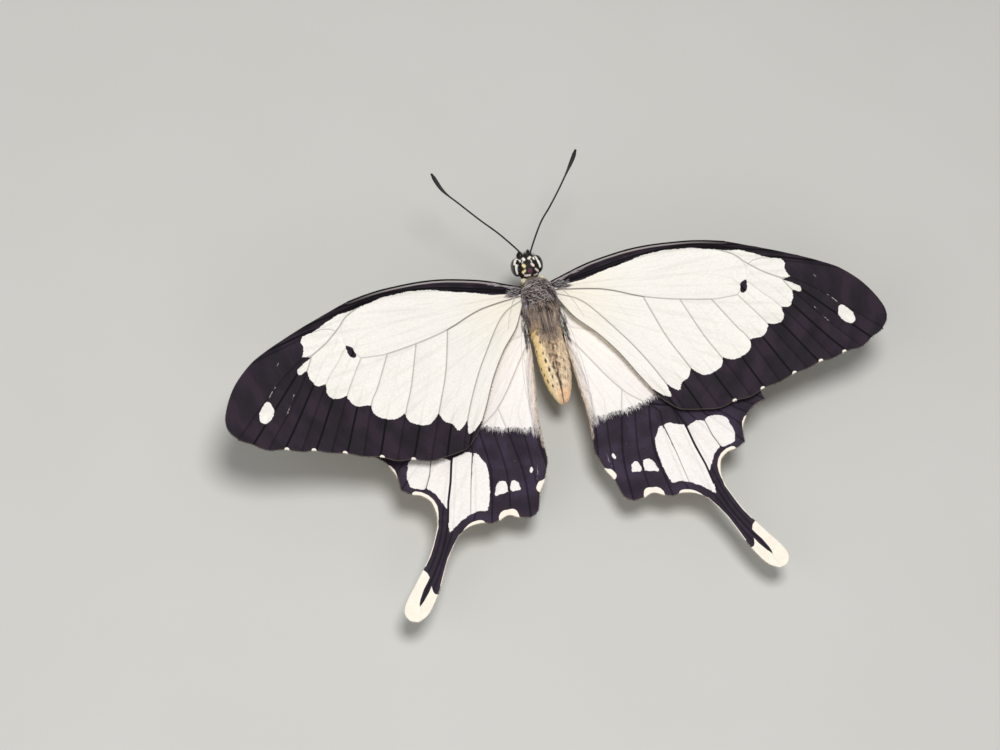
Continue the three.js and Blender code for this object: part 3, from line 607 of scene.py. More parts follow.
def wingFields(plan, triangles, rays, marks, middles, feather):
    # What the scales' colours follow at each point: distances in mm, and the ink of the nearest vein
    rim = rimOf(triangles)
    edge = gapTo(plan, plan[rim[:, 0]], plan[rim[:, 1]])[0]
    stem, stemRows, stemInk = marks["stem"]
    veins = [
        (ray[::3], marks["inks"][key], marks["inkStarts"].get(key, 0))
        for key, ray in rays.items() if key not in wings["bareRays"]]
    veins += [(np.array(line), 0, 0) for line, _, _, raised in marks["drawn"] if raised]
    veins += [(rays[stem][:stemRows + 1:3], stemInk, 0)]
    gaps, inks = np.empty((2, len(veins), len(plan)))
    for row, (line, ink, start) in enumerate(veins):
        gaps[row], nearest = gapTo(plan, line[:-1], line[1:])
        inks[row] = ink * np.clip((nearest * 3 - start) / 6 + 1, 0, 1)
    # a stem is shared by several veins: the darkest ink of those at the same distance holds
    close = gaps <= gaps.min(0) + 0.02
    cream, rimmed = markDepth(plan, marks, edge, plan[rim[:, 0]])
    base = np.linalg.norm(plan - rays["anal"][0], axis=1)
    angle = np.arctan2(plan[:, 1] - 1, plan[:, 0])
    flecks = np.min([distanceTo(plan, line) for line in marks["flecks"]], axis=0)
    return {
        "creamDepth": cream,
        "rimDepth": rimmed,
        "veinGap": gaps.min(0),
        "veinInk": np.where(close, inks, 0).max(0),
        **drawnFields(plan, marks["drawn"]),
        "foldGap": np.min([distanceTo(plan, line[::6]) for line in middles], axis=0),
        "edgeGap": edge,
        "innerGap": distanceTo(plan, rays["inner"][::4]),
        "baseGap": base,
        "costaGap": distanceTo(plan, rays["costa"][::4]),
        "fleckGap": flecks,
        "feather": feather(plan),
        "scaleRows": np.stack([base, angle * 20, np.zeros(len(plan))], -1),
    }


def planMap(plan, which):
    # The plan laid into half of the map's square: 0.015 + share of the plan's box, squeezed
    low, high = plan.min(0), plan.max(0)
    return 0.015 + (plan - low) / (high - low) * ([0.97, 0.47] if which == "fore" else [0.47, 0.97])


def windingOf(plan, triangles):
    # 1 where the faces run anticlockwise in the plan, -1 where they run clockwise: the sign of their area
    a, b, c = (plan[triangles[:, k]] for k in range(3))
    return np.sign(np.cross(b - a, c - a).sum())


def wingMesh(sheet, fields, which, side):
    # Both faces of the membrane and the wall round the rim as one closed mesh, with the plan laid out twice
    # as its map
    plan, triangles, sag, _ = sheet
    top, bottom = seatWing(plan, sag, fields["veinGap"], which, side)
    count = len(plan)
    rim = rimOf(triangles)
    walls = np.vstack([
        np.stack([rim[:, 0], rim[:, 0] + count, rim[:, 1] + count], -1),
        np.stack([rim[:, 0], rim[:, 1] + count, rim[:, 1]], -1),
    ])
    faces = np.vstack([triangles, triangles[:, ::-1] + count, walls])
    topMap = planMap(plan, which)
    bottomMap = topMap + ([0, 0.5] if which == "fore" else [0.5, 0])
    along = topMap[rim[:, 1]] - topMap[rim[:, 0]]
    outward = np.stack([along[:, 1], -along[:, 0]], -1) * windingOf(plan, triangles)
    outward *= 0.002 / np.maximum(np.linalg.norm(outward, axis=1, keepdims=True), 1e-9)
    wallMap = np.vstack([
        np.stack([topMap[rim[:, 0]], topMap[rim[:, 0]] + outward, topMap[rim[:, 1]] + outward], 1),
        np.stack([topMap[rim[:, 0]], topMap[rim[:, 1]] + outward, topMap[rim[:, 1]]], 1),
    ])
    corners = np.concatenate([topMap[triangles], bottomMap[triangles[:, ::-1]], wallMap])
    if side == "right":
        faces, corners = faces[:, ::-1], corners[:, ::-1]
    both = {key: np.concatenate([values, values]) for key, values in fields.items()}
    both["underSide"] = np.repeat([0.0, 1.0], count)
    return np.vstack([top, bottom]), faces, both, corners.reshape(-1, 2)


def foreFeather(plan):
    # Crisp edges all over, each scale a little in or out
    return np.full(len(plan), 0.16)


def hindFeather(plan):
    # The edge of the dark disc is drawn out into hairlike scales towards the body, and is crisp elsewhere
    near = np.clip(1 - np.abs(plan[:, 1] + 17) / 2.6, 0, 1) * np.clip((15.5 - plan[:, 0]) / 2, 0, 1)
    return 0.13 + 1.5 * near


sheets, planFields = {}, {}
for which, rays, strips, marks, feather in (
        ("fore", forewingRays(), forewingStrips, foreMarks, foreFeather),
        ("hind", hindwingRays(), hindwingStrips, hindMarks, hindFeather)):
    sheets[which] = wingSheet(rays, strips, which == "fore")
    planFields[which] = wingFields(*sheets[which][:2], rays, marks, sheets[which][3], feather)
print("wing sheets", {key: len(value[1]) for key, value in sheets.items()})

wingLooks = {
    "fore": {
        "cream": 0xEFEBE4, "creamBase": 0xF0E9DA, "streak": 0xD6D1C9, "dark": 0x2C242D,
        # darkFold is the dark's deeper tone: in random patches, and as painted crease shade on the under side
        "darkPale": 0x362935, "darkFold": 0x1B151D, "black": 0x0A080B, "vein": 0x5F5A52,
        "lineTone": 0x5F5A52, "costal": 0xBFB6B1, "rim": 0xF3EADC, "rimEdge": 0x7A6E62,
        "fleckTone": 0xD2CCCB, "innerTint": 0xEFE9DF, "underCream": 0xE6D9B8, "underDark": 0x5C4936,
        "costalShow": 0.65, "innerEdgeShadowInk": 0.8, "innerTan": 0.25, "darkCreaseShadeInk": 1.0, "darkVeinInk": 0.35,
        "rough": 0.62,
    },
    "hind": {
        # the hind wing's creamBase is lighter than its cream: painted light that lifts the shade near the
        # body
        "cream": 0xF1EBE7, "creamBase": 0xF8F1EA, "streak": 0xDDD5D1, "dark": 0x362D38,
        "darkPale": 0x40364A, "darkFold": 0x241E28, "black": 0x0E0B10, "vein": 0x6B635A,
        "lineTone": 0x2B242C, "costal": 0xBFB6B1, "rim": 0xF6ECDD, "rimEdge": 0x9A8A78,
        "fleckTone": 0xC4BECB, "innerTint": 0xE3CDB6, "underCream": 0xDDC793, "underDark": 0x6B5238,
        "costalShow": 0.0, "innerEdgeShadowInk": 0.3, "innerTan": 0.7, "darkCreaseShadeInk": 0.55, "darkVeinInk": 0.6,
        "rough": 0.62,
    },
}
wingNoises = [  # per mm along the veins and per 3 degrees across: a slow drift, long streaks, the ragged edge
    ("drift", (0.35, 0.35, 1), 4.0), ("streaks", (0.08, 1.6, 1), 2.0), ("ragged", (0.7, 2.6, 1), 2.0)]
wingSpreads = [  # how far noise moves the markings' edge, the same scale by scale, and a scale's brightness
    ("jitter", "ragged", -0.5, 0.5), ("uneven", "scaleTone", -0.05, 0.05), ("shade", "scaleTone", 0.96, 1.04)]
wingSums = [
    ("frayed", "MULTIPLY_ADD", ("jitter", "feather", "creamDepth")),
    ("depth", "ADD", ("frayed", "uneven")),
    ("lineAside", "ABSOLUTE", ("lineSide",)),
    ("lineGap", "SUBTRACT", ("lineAside", "lineHalf")),
]
# Where each mask goes from its first value to its last along a field, in mm or as a share; names are a
# look's numbers
wingMasks = [
    ("isCream", "depth", -0.045, 0.045, 0.0, 1.0),
    ("isRim", "rimDepth", -0.04, 0.04, 0.0, 1.0),
    # near the hinge the cream takes creamBase: a warmer tone on the forewing, painted light on the hind wing
    ("nearHinge", "baseGap", 2.0, 13.0, 1.0, 0.0),
    ("drifted", "drift", 0.35, 0.75, 0.0, 0.1),
    # partly painted shade: soft grey streaks along the veins, both the scales' own streaks and the shade of
    # the membrane's soft pleats
    ("streakShaded", "streaks", 0.46, 0.72, 0.0, 0.36),
    ("innerBand", "innerGap", 0.2, 0.95, "innerTan", 0.0),
    # partly painted shadow: a dark line along the inner margin, the edge's own dark scales together with the
    # shade that falls beside it
    ("innerEdgeShadow", "innerGap", 0.07, 0.2, "innerEdgeShadowInk", 0.0),
    ("veinCore", "veinGap", 0.045, 0.15, 1.0, 0.0),
    # painted shade in the crease down the middle of each broad strip, where the pleat sags lowest; grey on
    # the cream, strongest near the dark
    ("creaseShadeSoft", "foldGap", 0.04, 0.26, 0.11, 0.0),
    ("onLine", "lineGap", -0.03, 0.04, 1.0, 0.0),
    ("towardsEdge", "depth", 0.3, 3.2, 1.0, 0.3),
    ("darkDrift", "drift", 0.35, 0.7, 0.0, 0.6),
    # painted sheen: a lighter, bluer tone in soft patches of the dark where the drift noise is low
    ("darkSheen", "drift", 0.36, 0.52, 0.5, 0.0),
    # painted shade in the same creases, black over the dark and on the under side
    ("darkCreaseShade", "foldGap", 0.06, 0.22, "darkCreaseShadeInk", 0.0),
    ("darkVein", "veinGap", 0.07, 0.2, "darkVeinInk", 0.0),
    ("costaEdge", "costaGap", 0.12, 0.2, 0.9, 0.0),
    ("costalFront", "costaGap", 0.17, 0.26, 0.0, 1.0),
    ("costalBack", "costaGap", 0.36, 0.5, 1.0, 0.0),
    ("costalFade", "baseGap", 15.0, 28.0, "costalShow", 0.0),
    ("rimLine", "edgeGap", 0.0, 0.09, 0.6, 0.0),
    ("clearOfCosta", "costaGap", 0.5, 3.0, 0.0, 1.0),
    ("paleScale", "scaleTone", 0.6, 0.8, 0.0, 0.5),
    ("fleckLine", "fleckGap", 0.03, 0.09, 1.0, 0.0),
]
wingProducts = [
    ("veinLine", "veinCore", "veinInk"),
    ("drawnLine", "onLine", "lineInk"),
    ("rimEdgeLine", "rimLine", "clearOfCosta"),
    ("creaseShadeLine", "creaseShadeSoft", "towardsEdge"),
    ("costalLine", "costalFront", "costalBack"),
    ("costalStripe", "costalLine", "costalFade"),
    ("fleck", "paleScale", "fleckLine"),
]
wingLayers = [  # each colour over the one before, as far as its mask shows
    ("cream1", "cream", "creamBase", "nearHinge"),
    ("cream2", "cream1", "creamBase", "drifted"),
    # cream3: streaks, partly painted pleat shade
    ("cream3", "cream2", "streak", "streakShaded"),
    ("cream4", "cream3", "innerTint", "innerBand"),
    # cream5: painted crease shade in the vein colour
    ("cream5", "cream4", "vein", "creaseShadeLine"),
    ("cream6", "cream5", "vein", "veinLine"),
    # cream7: inner edge line, partly painted shadow
    ("cream7", "cream6", "vein", "innerEdgeShadow"),
    ("cream8", "cream7", "lineTone", "drawnLine"),
    ("dark1", "dark", "darkFold", "darkDrift"),
    # dark2: painted sheen
    ("dark2", "dark1", "darkPale", "darkSheen"),
    # dark3: painted crease shade in black
    ("dark3", "dark2", "black", "darkCreaseShade"),
    ("dark3b", "dark3", "black", "darkVein"),
    ("dark4", "dark3b", "black", "costaEdge"),
    ("dark5", "dark4", "costal", "costalStripe"),
    ("dark6", "dark5", "fleckTone", "fleck"),
    ("both", "dark6", "cream8", "isCream"),
    ("edged", "both", "rimEdge", "rimEdgeLine"),
    ("upper", "edged", "rim", "isRim"),
    ("under1", "underCream", "underDark", "veinLine"),
    # under2: painted crease shade on the under side
    ("under2", "underDark", "darkFold", "darkCreaseShade"),
    ("under3", "under2", "under1", "isCream"),
    ("under", "under3", "rim", "isRim"),
    ("whole", "upper", "under", "underSide"),
]


def wingMaterial(name, look):
    # Chitin membrane under tiny overlapping flat scales like roof tiles: soft and matt, never glossy, and
    # the colour changes scale by scale, so the edge between cream and dark is finely ragged
    material, tree, shader = newMaterial(name, {
        "Roughness": look["rough"], "Specular IOR Level": 0.08, "Sheen Weight": 0.03, "Sheen Roughness": 0.5})
    made = {}
    for key in (*planFields["fore"], "underSide"):
        if key != "scaleRows":
            made[key] = addNode(tree, "ShaderNodeAttribute", {"attribute_name": key}).outputs["Fac"]
    rows = addNode(tree, "ShaderNodeAttribute", {"attribute_name": "scaleRows"}).outputs["Vector"]
    long, wide = wings["scaleSize"]
    tiles = addNode(tree, "ShaderNodeMapping", {"Scale": (1 / long, 1 / wide, 1)}, {
        "Vector": rows}).outputs[0]
    scale = addNode(tree, "ShaderNodeTexVoronoi", {"voronoi_dimensions": "2D", "Scale": 1.0}, {
        "Vector": tiles}).outputs
    made["scaleTone"] = addNode(tree, "ShaderNodeSeparateColor", None, {"Color": scale["Color"]}).outputs[0]
    for key, stretch, detail in wingNoises:
        stretched = addNode(tree, "ShaderNodeMapping", {"Scale": stretch}, {"Vector": rows}).outputs[0]
        noise = addNode(tree, "ShaderNodeTexNoise", {"Scale": 1.0, "Detail": detail}, {"Vector": stretched})
        made[key] = noise.outputs["Fac"]
    for key, source, low, high in wingSpreads:
        spread = addNode(tree, "ShaderNodeMapRange", {"To Min": low, "To Max": high}, {"Value": made[source]})
        made[key] = spread.outputs[0]
    for key, operation, parts in wingSums:
        made[key] = addNode(tree, "ShaderNodeMath", {"operation": operation}, {
            socket: made[part] for socket, part in enumerate(parts)}).outputs[0]
    for key, source, start, end, first, last in wingMasks:
        made[key] = addNode(tree, "ShaderNodeMapRange", {
            "interpolation_type": "SMOOTHSTEP", "From Min": start, "From Max": end,
            "To Min": look.get(first, first), "To Max": look.get(last, last),
        }, {"Value": made[source]}).outputs[0]
    for key, one, other in wingProducts:
        made[key] = addNode(tree, "ShaderNodeMath", {"operation": "MULTIPLY"}, {
            0: made[one], 1: made[other]}).outputs[0]
    for key, lower, over, cover in wingLayers:
        parts = {6: lower, 7: over}  # the two colour sockets of a Mix node
        colours = {socket: linear(look[part]) for socket, part in parts.items() if part in look}
        sources = {socket: made[part] for socket, part in parts.items() if part in made}
        made[key] = addNode(tree, "ShaderNodeMix", {"data_type": "RGBA", "clamp_factor": True, **colours}, {
            0: made[cover], **sources}).outputs[2]
    toned = addNode(tree, "ShaderNodeHueSaturation", None, {"Color": made["whole"], "Value": made["shade"]})
    tree.links.new(toned.outputs[0], shader.inputs["Base Color"])
    relief = {"Strength": 0.35, "Distance": wings["scaleRelief"] * 0.001}
    bump = addNode(tree, "ShaderNodeBump", relief, {"Height": scale["Distance"]})
    tree.links.new(bump.outputs[0], shader.inputs["Normal"])
    return material


wingCoats = {which: wingMaterial("wingScales" + which.title(), wingLooks[which]) for which in wingLooks}
wingTops = {}
for side in sides:
    for which in wingCoats:
        points, faces, fields, corners = wingMesh(sheets[which], planFields[which], which, side)
        makePiece(f"{which}wing{side.title()}", standing(points), faces, wingCoats[which],
                  [f"{which}wing_{side}"], fields, corners)
        upper = len(sheets[which][1])
        wingTops[which, side] = points, faces[:upper], corners.reshape(-1, 3, 2)[:upper]
print("wings done")


def smoothStep(value, start, end):
    # 0 at start, 1 at end, 3t^2 - 2t^3 between
    t = np.clip((np.asarray(value, float) - start) / (end - start), 0, 1)
    return t * t * (3 - 2 * t)


def between(pair, count, rng):
    return pair[0] + (pair[1] - pair[0]) * rng.random(count)


def pigment(hexColour, count):
    return np.tile(linear(hexColour)[:3], (count, 1))


def laidOver(under, hexColour, cover):
    # A pigment over another where cover is 1
    return under + (np.array(linear(hexColour)[:3]) - under) * np.asarray(cover)[:, None]


def mixedPigment(shares, count, rng):
    # Each hair takes one of the colours, as often as its share says
    colours = np.array([linear(tone)[:3] for tone, _ in shares])
    chance = np.array([share for _, share in shares])
    return colours[rng.choice(len(shares), count, p=chance / chance.sum())]


def ovalSkin(sections, coat, perSpan, around):
    # Sections [y, half width, half height, middle height] joined by a spline and drawn in by the coat's
    # depth; x = w sin a, z = middle + h cos a
    rows = splineThrough(sections, perSpan)
    angle = np.linspace(-np.pi, np.pi, around + 1)
    wide, tall = (np.maximum(rows[:, k:k + 1] - coat, 0) for k in (1, 2))
    return np.stack([wide * np.sin(angle), rows[:, :1] + 0 * angle, rows[:, 3:] + tall * np.cos(angle)], -1)


def ball(centre, radii, rows, columns):
    # An ellipsoid: p = centre + (rx cos b sin a, ry sin b, rz cos b cos a)
    b = np.linspace(-np.pi / 2, np.pi / 2, rows)[:, None]
    a = np.linspace(-np.pi, np.pi, columns)[None]
    return np.stack([np.cos(b) * np.sin(a), np.sin(b) + 0 * a, np.cos(b) * np.cos(a)], -1) * radii + centre


def tubeAlong(path, radii, around, reference):
    # Rings round a path: side = along x reference, other = side x along, closed to a point at both ends
    along = np.gradient(path, axis=0)
    along = np.vstack([along[:1], along, along[-1:]])
    along /= np.linalg.norm(along, axis=1, keepdims=True)
    path = np.vstack([path[:1], path, path[-1:]])
    radii = np.concatenate([[0.0], radii, [0.0]])
    across = np.cross(along, reference)
    across /= np.linalg.norm(across, axis=1, keepdims=True)
    other = np.cross(across, along)
    angle = np.linspace(-np.pi, np.pi, around + 1)[:, None]
    ring = across[:, None] * np.cos(angle) + other[:, None] * np.sin(angle)
    return path[:, None] + radii[:, None, None] * ring


def closedGrid(grid):
    # A grid of points, its last column brought onto its first, as a closed mesh with its own rectangle as
    # its map
    grid[:, -1] = grid[:, 0]
    rows, columns = grid.shape[:2]
    v, u = np.meshgrid(np.linspace(0.01, 0.99, rows), np.linspace(0.01, 0.99, columns), indexing="ij")
    faces = gridFaces(rows, columns)
    points, joined, _, full = weld(grid.reshape(-1, 3), faces)
    corners = np.stack([u, v], -1).reshape(-1, 2)[faces][full]
    turned = facingOut(points, joined)
    return points, turned, corners if turned is joined else corners[:, ::-1]


def skinPiece(name, mesh, coat, replaced, tint):
    # A closed mesh in the insect's frame, with one colour for all of it or a pigment for each point
    points, faces, corners = mesh
    fields = {"pigment": pigment(tint, len(points)) if isinstance(tint, int) else tint}
    makePiece(name, standing(points), faces, coats[coat], replaced, fields, corners.reshape(-1, 2))


def facesWithin(mesh, windows):
    # Which faces have their middles inside every window: how far aside, along and up they are, in mm
    x, y, z = mesh[0][mesh[1]].mean(1).T
    places = {"aside": np.abs(x), "along": y, "up": z}
    inside = [(places[key] > low) & (places[key] < high) for key, (low, high) in windows.items()]
    return np.all(inside, axis=0)


def scatter(points, triangles, corners, count, rng, weight=1):
    # Seeded random places on a surface: a face by its area and weight, then two even numbers folded into
    # the triangle
    a, b, c = (points[triangles[:, k]] for k in range(3))
    normal = np.cross(b - a, c - a)
    area = np.linalg.norm(normal, axis=1)
    chance = area * weight
    face = rng.choice(len(triangles), count, p=chance / chance.sum())
    u, v = rng.random((2, count))
    over = u + v > 1
    u, v = np.where(over, 1 - u, u), np.where(over, 1 - v, v)
    shares = np.stack([1 - u - v, u, v], -1)[..., None]
    root, place = ((values[face] * shares).sum(1) for values in (points[triangles], corners))
    return root, normal[face] / area[face, None], place


def hairLot(spots, rng, lay, looks, **more):
    # One lot of hairs on its scattered spots. Of its looks, a pair is drawn between its two values, the
    # rise's degrees become radians, "tones" are mixed by their shares and "tint" is a function of roots and
    # generator
    root, normal, place = spots
    count = len(root)
    lot = {"seed": looks["seed"], "root": root, "normal": normal, "place": place, "lay": lay, **more}
    for key in ("length", "width", "rise", "curl"):
        value = looks[key]
        lot[key] = between(value, count, rng) if isinstance(value, tuple) else np.broadcast_to(value, count)
    lot["rise"] = np.radians(lot["rise"])
    tint = looks.get("tint")
    lot["pigment"] = tint(root, rng) if tint else mixedPigment(looks["tones"], count, rng)
    return lot


def clearOf(lot, kept):
    # Only the hairs of a lot that are to be kept
    return {key: value[kept] if np.ndim(value) else value for key, value in lot.items()}


hairTaper = 0.8  # a hair's tip is this share thinner than its root
hairSunk = 0.06  # its root is this share of its length under the skin
hairPatch = 0.0015  # half the width of its patch of the map


def hairs(root, normal, lay, length, width, rise, curl, place, wave=0.0, stations=(0.0, 0.42, 0.78)):
    # Each hair is a closed three-sided spike: centre = root + L (n (t sin rise - curl t^2) + d t cos rise +
    # s wave sin(2 pi t)), sunk a little at its root, radius = w (1 - taper t), ending in a point; its map
    # is a small patch round its root's place
    count, rings = len(root), len(stations)
    lay = lay - normal * (lay * normal).sum(1, keepdims=True)
    lay /= np.maximum(np.linalg.norm(lay, axis=1, keepdims=True), 1e-9)
    across = np.cross(normal, lay)
    t = np.array([*stations, 1.0])
    up = t * np.sin(rise)[:, None] - curl[:, None] * t**2 - hairSunk * (t == 0)
    centre = root[:, None] + length[:, None, None] * (
        normal[:, None] * up[..., None] + lay[:, None] * (t * np.cos(rise)[:, None])[..., None]
        + across[:, None] * (wave * np.sin(2 * np.pi * t))[:, None])
    turn = np.radians([90, 210, 330])
    taper = 1 - hairTaper * t[:-1]
    ring = centre[:, :-1, None] + (width[:, None] * taper)[..., None, None] * (
        across[:, None, None] * np.cos(turn)[:, None] + 0.6 * normal[:, None, None] * np.sin(turn)[:, None])
    points = np.concatenate([ring.reshape(count, -1, 3), centre[:, -1:]], 1)
    tip = [(3 * rings - 3 + s, 3 * rings - 3 + (s + 1) % 3, 3 * rings) for s in range(3)]
    faces = facingOut(points[0], np.vstack([[(2, 1, 0)], gridFaces(rings, 3, True)[:, ::-1], tip]))
    spread = hairPatch * taper[:, None, None] * np.stack([np.cos(turn), np.sin(turn)], -1)
    local = np.vstack([spread.reshape(-1, 2), [[0.0, 0.0]]])
    maps = np.clip(place[:, None] + local, 0.0005, 0.9995)
    every = faces + (np.arange(count) * points.shape[1])[:, None, None]
    share = np.concatenate([np.repeat(t[:-1], 3), [1.0]])
    return points.reshape(-1, 3), every.reshape(-1, 3), maps[:, faces].reshape(-1, 2), share


def makeHairs(name, lots, coat):
    # Several lots of hairs as one piece; each carries its pigment, a random tone and its share from root to
    # tip
    points, faces, maps, total = [], [], [], 0
    fields = {"pigment": [], "tone": [], "tipShare": []}
    for lot in lots:
        rng = np.random.default_rng(lot["seed"])
        shape = {key: value for key, value in lot.items() if key not in ("seed", "pigment")}
        made, joined, corners, share = hairs(**shape)
        points.append(made)
        faces.append(joined + total)
        maps.append(corners)
        total += len(made)
        fields["pigment"].append(np.repeat(lot["pigment"], len(share), 0))
        fields["tone"].append(np.repeat(rng.random(len(lot["root"])), len(share)))
        fields["tipShare"].append(np.tile(share, len(lot["root"])))
    fields = {key: np.concatenate(values) for key, values in fields.items()}
    placed = standing(np.vstack(points))
    placed[:, 2] = np.maximum(placed[:, 2], overFloor)  # hair that meets the floor lies down on it
    makePiece(name, placed, np.vstack(faces), coats[coat], (), fields, np.vstack(maps))


def coatMaterial(name, rough, sheen, contrast):
    # Hairs and scales of chitin: each has one colour of its own, darker down at its root where light
    # doesn't reach
    material, tree, shader = newMaterial(name, {
        "Roughness": rough, "Specular IOR Level": 0.35, "Sheen Weight": sheen, "Sheen Roughness": 0.45})
    made = {}
    for key, ranged in (
            ("tone", {"To Min": 1 - contrast, "To Max": 1 + contrast}),
            ("tipShare", {"From Max": 0.7, "To Min": 0.62, "To Max": 1.08})):
        source = addNode(tree, "ShaderNodeAttribute", {"attribute_name": key}).outputs["Fac"]
        made[key] = addNode(tree, "ShaderNodeMapRange", ranged, {"Value": source}).outputs[0]
    tint = addNode(tree, "ShaderNodeAttribute", {"attribute_name": "pigment"}).outputs["Color"]
    value = addNode(tree, "ShaderNodeMath", {"operation": "MULTIPLY"}, {
        0: made["tone"], 1: made["tipShare"]}).outputs[0]
    toned = addNode(tree, "ShaderNodeHueSaturation", None, {"Color": tint, "Value": value})
    tree.links.new(toned.outputs[0], shader.inputs["Base Color"])
    return material


def skinMaterial(name, rough, grain, relief, settings=None):
    # Body cuticle clothed in short scales: the skin's own pigment with a scale-sized grain and bump, both
    # in mm
    material, tree, shader = newMaterial(name, {
        "Roughness": rough, "Specular IOR Level": 0.3, **(settings or {})})
    tint = addNode(tree, "ShaderNodeAttribute", {"attribute_name": "pigment"}).outputs["Color"]
    place = addNode(tree, "ShaderNodeTexCoord").outputs["Object"]
    cells = addNode(tree, "ShaderNodeTexVoronoi", {"Scale": 1000 / grain}, {"Vector": place})
    tone = addNode(tree, "ShaderNodeSeparateColor", None, {"Color": cells.outputs["Color"]}).outputs[0]
    value = addNode(tree, "ShaderNodeMapRange", {"To Min": 0.85, "To Max": 1.12}, {"Value": tone}).outputs[0]
    toned = addNode(tree, "ShaderNodeHueSaturation", None, {"Color": tint, "Value": value})
    tree.links.new(toned.outputs[0], shader.inputs["Base Color"])
    depth = {"Strength": 0.6, "Distance": relief * 0.001}
    bump = addNode(tree, "ShaderNodeBump", depth, {"Height": cells.outputs["Distance"]})
    tree.links.new(bump.outputs[0], shader.inputs["Normal"])
    return material


coats = {
    "thoraxHair": coatMaterial("thoraxHair", 0.6, 0.2, 0.28),
    "abdomenScale": coatMaterial("abdomenScales", 0.65, 0.1, 0.16),
    "headScale": coatMaterial("headScales", 0.6, 0.1, 0.12),
    "wingHair": coatMaterial("wingHair", 0.6, 0.15, 0.2),
    "thoraxSkin": skinMaterial("thoraxCuticle", 0.75, 0.18, 0.03),
    "abdomenSkin": skinMaterial("abdomenCuticle", 0.7, 0.16, 0.03),
    "headSkin": skinMaterial("headCuticle", 0.6, 0.12, 0.02),
    "antenna": skinMaterial("antennaCuticle", 0.5, 0.1, 0.01),
    "leg": skinMaterial("legCuticle", 0.5, 0.12, 0.015),
    "eye": skinMaterial("compoundEye", 0.18, 0.07, 0.004, {
        "Coat Weight": 0.5, "Coat Roughness": 0.08, "Specular IOR Level": 0.5}),
}

# Hair on the wings, each lot within its windows of the wing's fields in mm; "lay" is its way [out, forward]
wingHairs = {
    "fore": [
        {"within": {"baseGap": (0.0, 1.9), "forward": (1.0, 3.4)}, "count": 190, "lay": (1.0, 0.05),
         "wander": 0.3, "length": (0.5, 1.1), "width": 0.042, "rise": (8, 22),
         "tones": [(0xE4DADE, 0.34), (0x231B1F, 0.5), (0x85797F, 0.16)]},
        {"within": {"costaGap": (0.12, 0.5), "baseGap": (1.8, 4.8)}, "count": 60, "lay": (1.0, 0.14),
         "wander": 0.08, "length": (0.6, 1.2), "width": 0.032, "rise": (3, 8),
         "tones": [(0xD2C9CA, 0.7), (0x857980, 0.3)]},
    ],
    "hind": [
        {"within": {"innerGap": (0.0, 0.3), "forward": (-20.5, -5.0)}, "count": 460, "lay": (0.02, -1.0),
         "wander": 0.05, "length": (0.5, 1.2), "width": 0.028, "rise": (2, 7),
         "tones": [(0xEBDCCC, 0.6), (0xCDB49B, 0.3), (0x8C7A6C, 0.1)]},
        {"within": {"innerGap": (0.25, 1.2), "forward": (-18.5, -6.0)}, "count": 520, "lay": (0.06, -1.0),
         "wander": 0.06, "length": (0.7, 1.7), "width": 0.028, "rise": (2, 7),
         "tones": [(0xF7F1EC, 0.84), (0xE3D7CE, 0.16)]},
        {"within": {"out": (2.5, 3.05), "forward": (-5.6, -1.2)}, "count": 150, "lay": (0.13, -1.0),
         "wander": 0.05, "length": (1.1, 2.2), "width": 0.034, "rise": (4, 12),
         "tones": [(0x33292A, 0.66), (0x7A6E6B, 0.2), (0xE2DAD5, 0.14)]},
        {"within": {"creamDepth": (-0.05, 0.4), "forward": (-18.9, -15.6), "out": (3.6, 14.6)}, "count": 420,
         "lay": (0.14, -1.0), "wander": 0.14, "length": (0.4, 1.1), "width": 0.034, "rise": (3, 8),
         "tones": [(0xF6F2EE, 0.9), (0xDAD3CF, 0.1)]},
    ],
    "fringe": {  # on the rim, but not by the hinge or the front edge, nor where it faces further forward
        "seed": 73, "perMm": 11, "length": (0.1, 0.22), "width": 0.026, "rise": (-8, 8), "curl": 0.0,
        "wander": 0.25, "dark": 0x262024, "pale": 0xEFE4D2, "from": 3.0, "costaFrom": 0.4, "facing": 0.25,
        "margin": 0.05},  # mm inside the insect's whole box
    "every": {"seed": 72, "curl": 0.06},
    "seed": 71,
}


def wingWay(ways, which, side):
    # Directions in the plan, turned as the wing is held
    flat = np.stack([ways[:, 0], -ways[:, 1], 0 * ways[:, 0]], -1)
    return flat @ wingTurn(which, side).T * flip[side]


def hairOnWing(lot, which, side, rng):
    # A lot's roots lie on the faces whose middles are within all its windows
    plan, triangles = sheets[which][:2]
    values = {**planFields[which], "out": plan[:, 0], "forward": plan[:, 1]}
    inside = np.ones(len(triangles), bool)
    for key, (low, high) in lot["within"].items():
        middle = values[key][triangles].mean(1)
        inside &= (middle >= low) & (middle <= high)
    spots = scatter(*wingTops[which, side], lot["count"], rng, inside)
    ways = np.array(lot["lay"]) + lot["wander"] * rng.normal(size=(lot["count"], 2))
    return hairLot(spots, rng, wingWay(ways, which, side), {**wingHairs["every"], **lot})


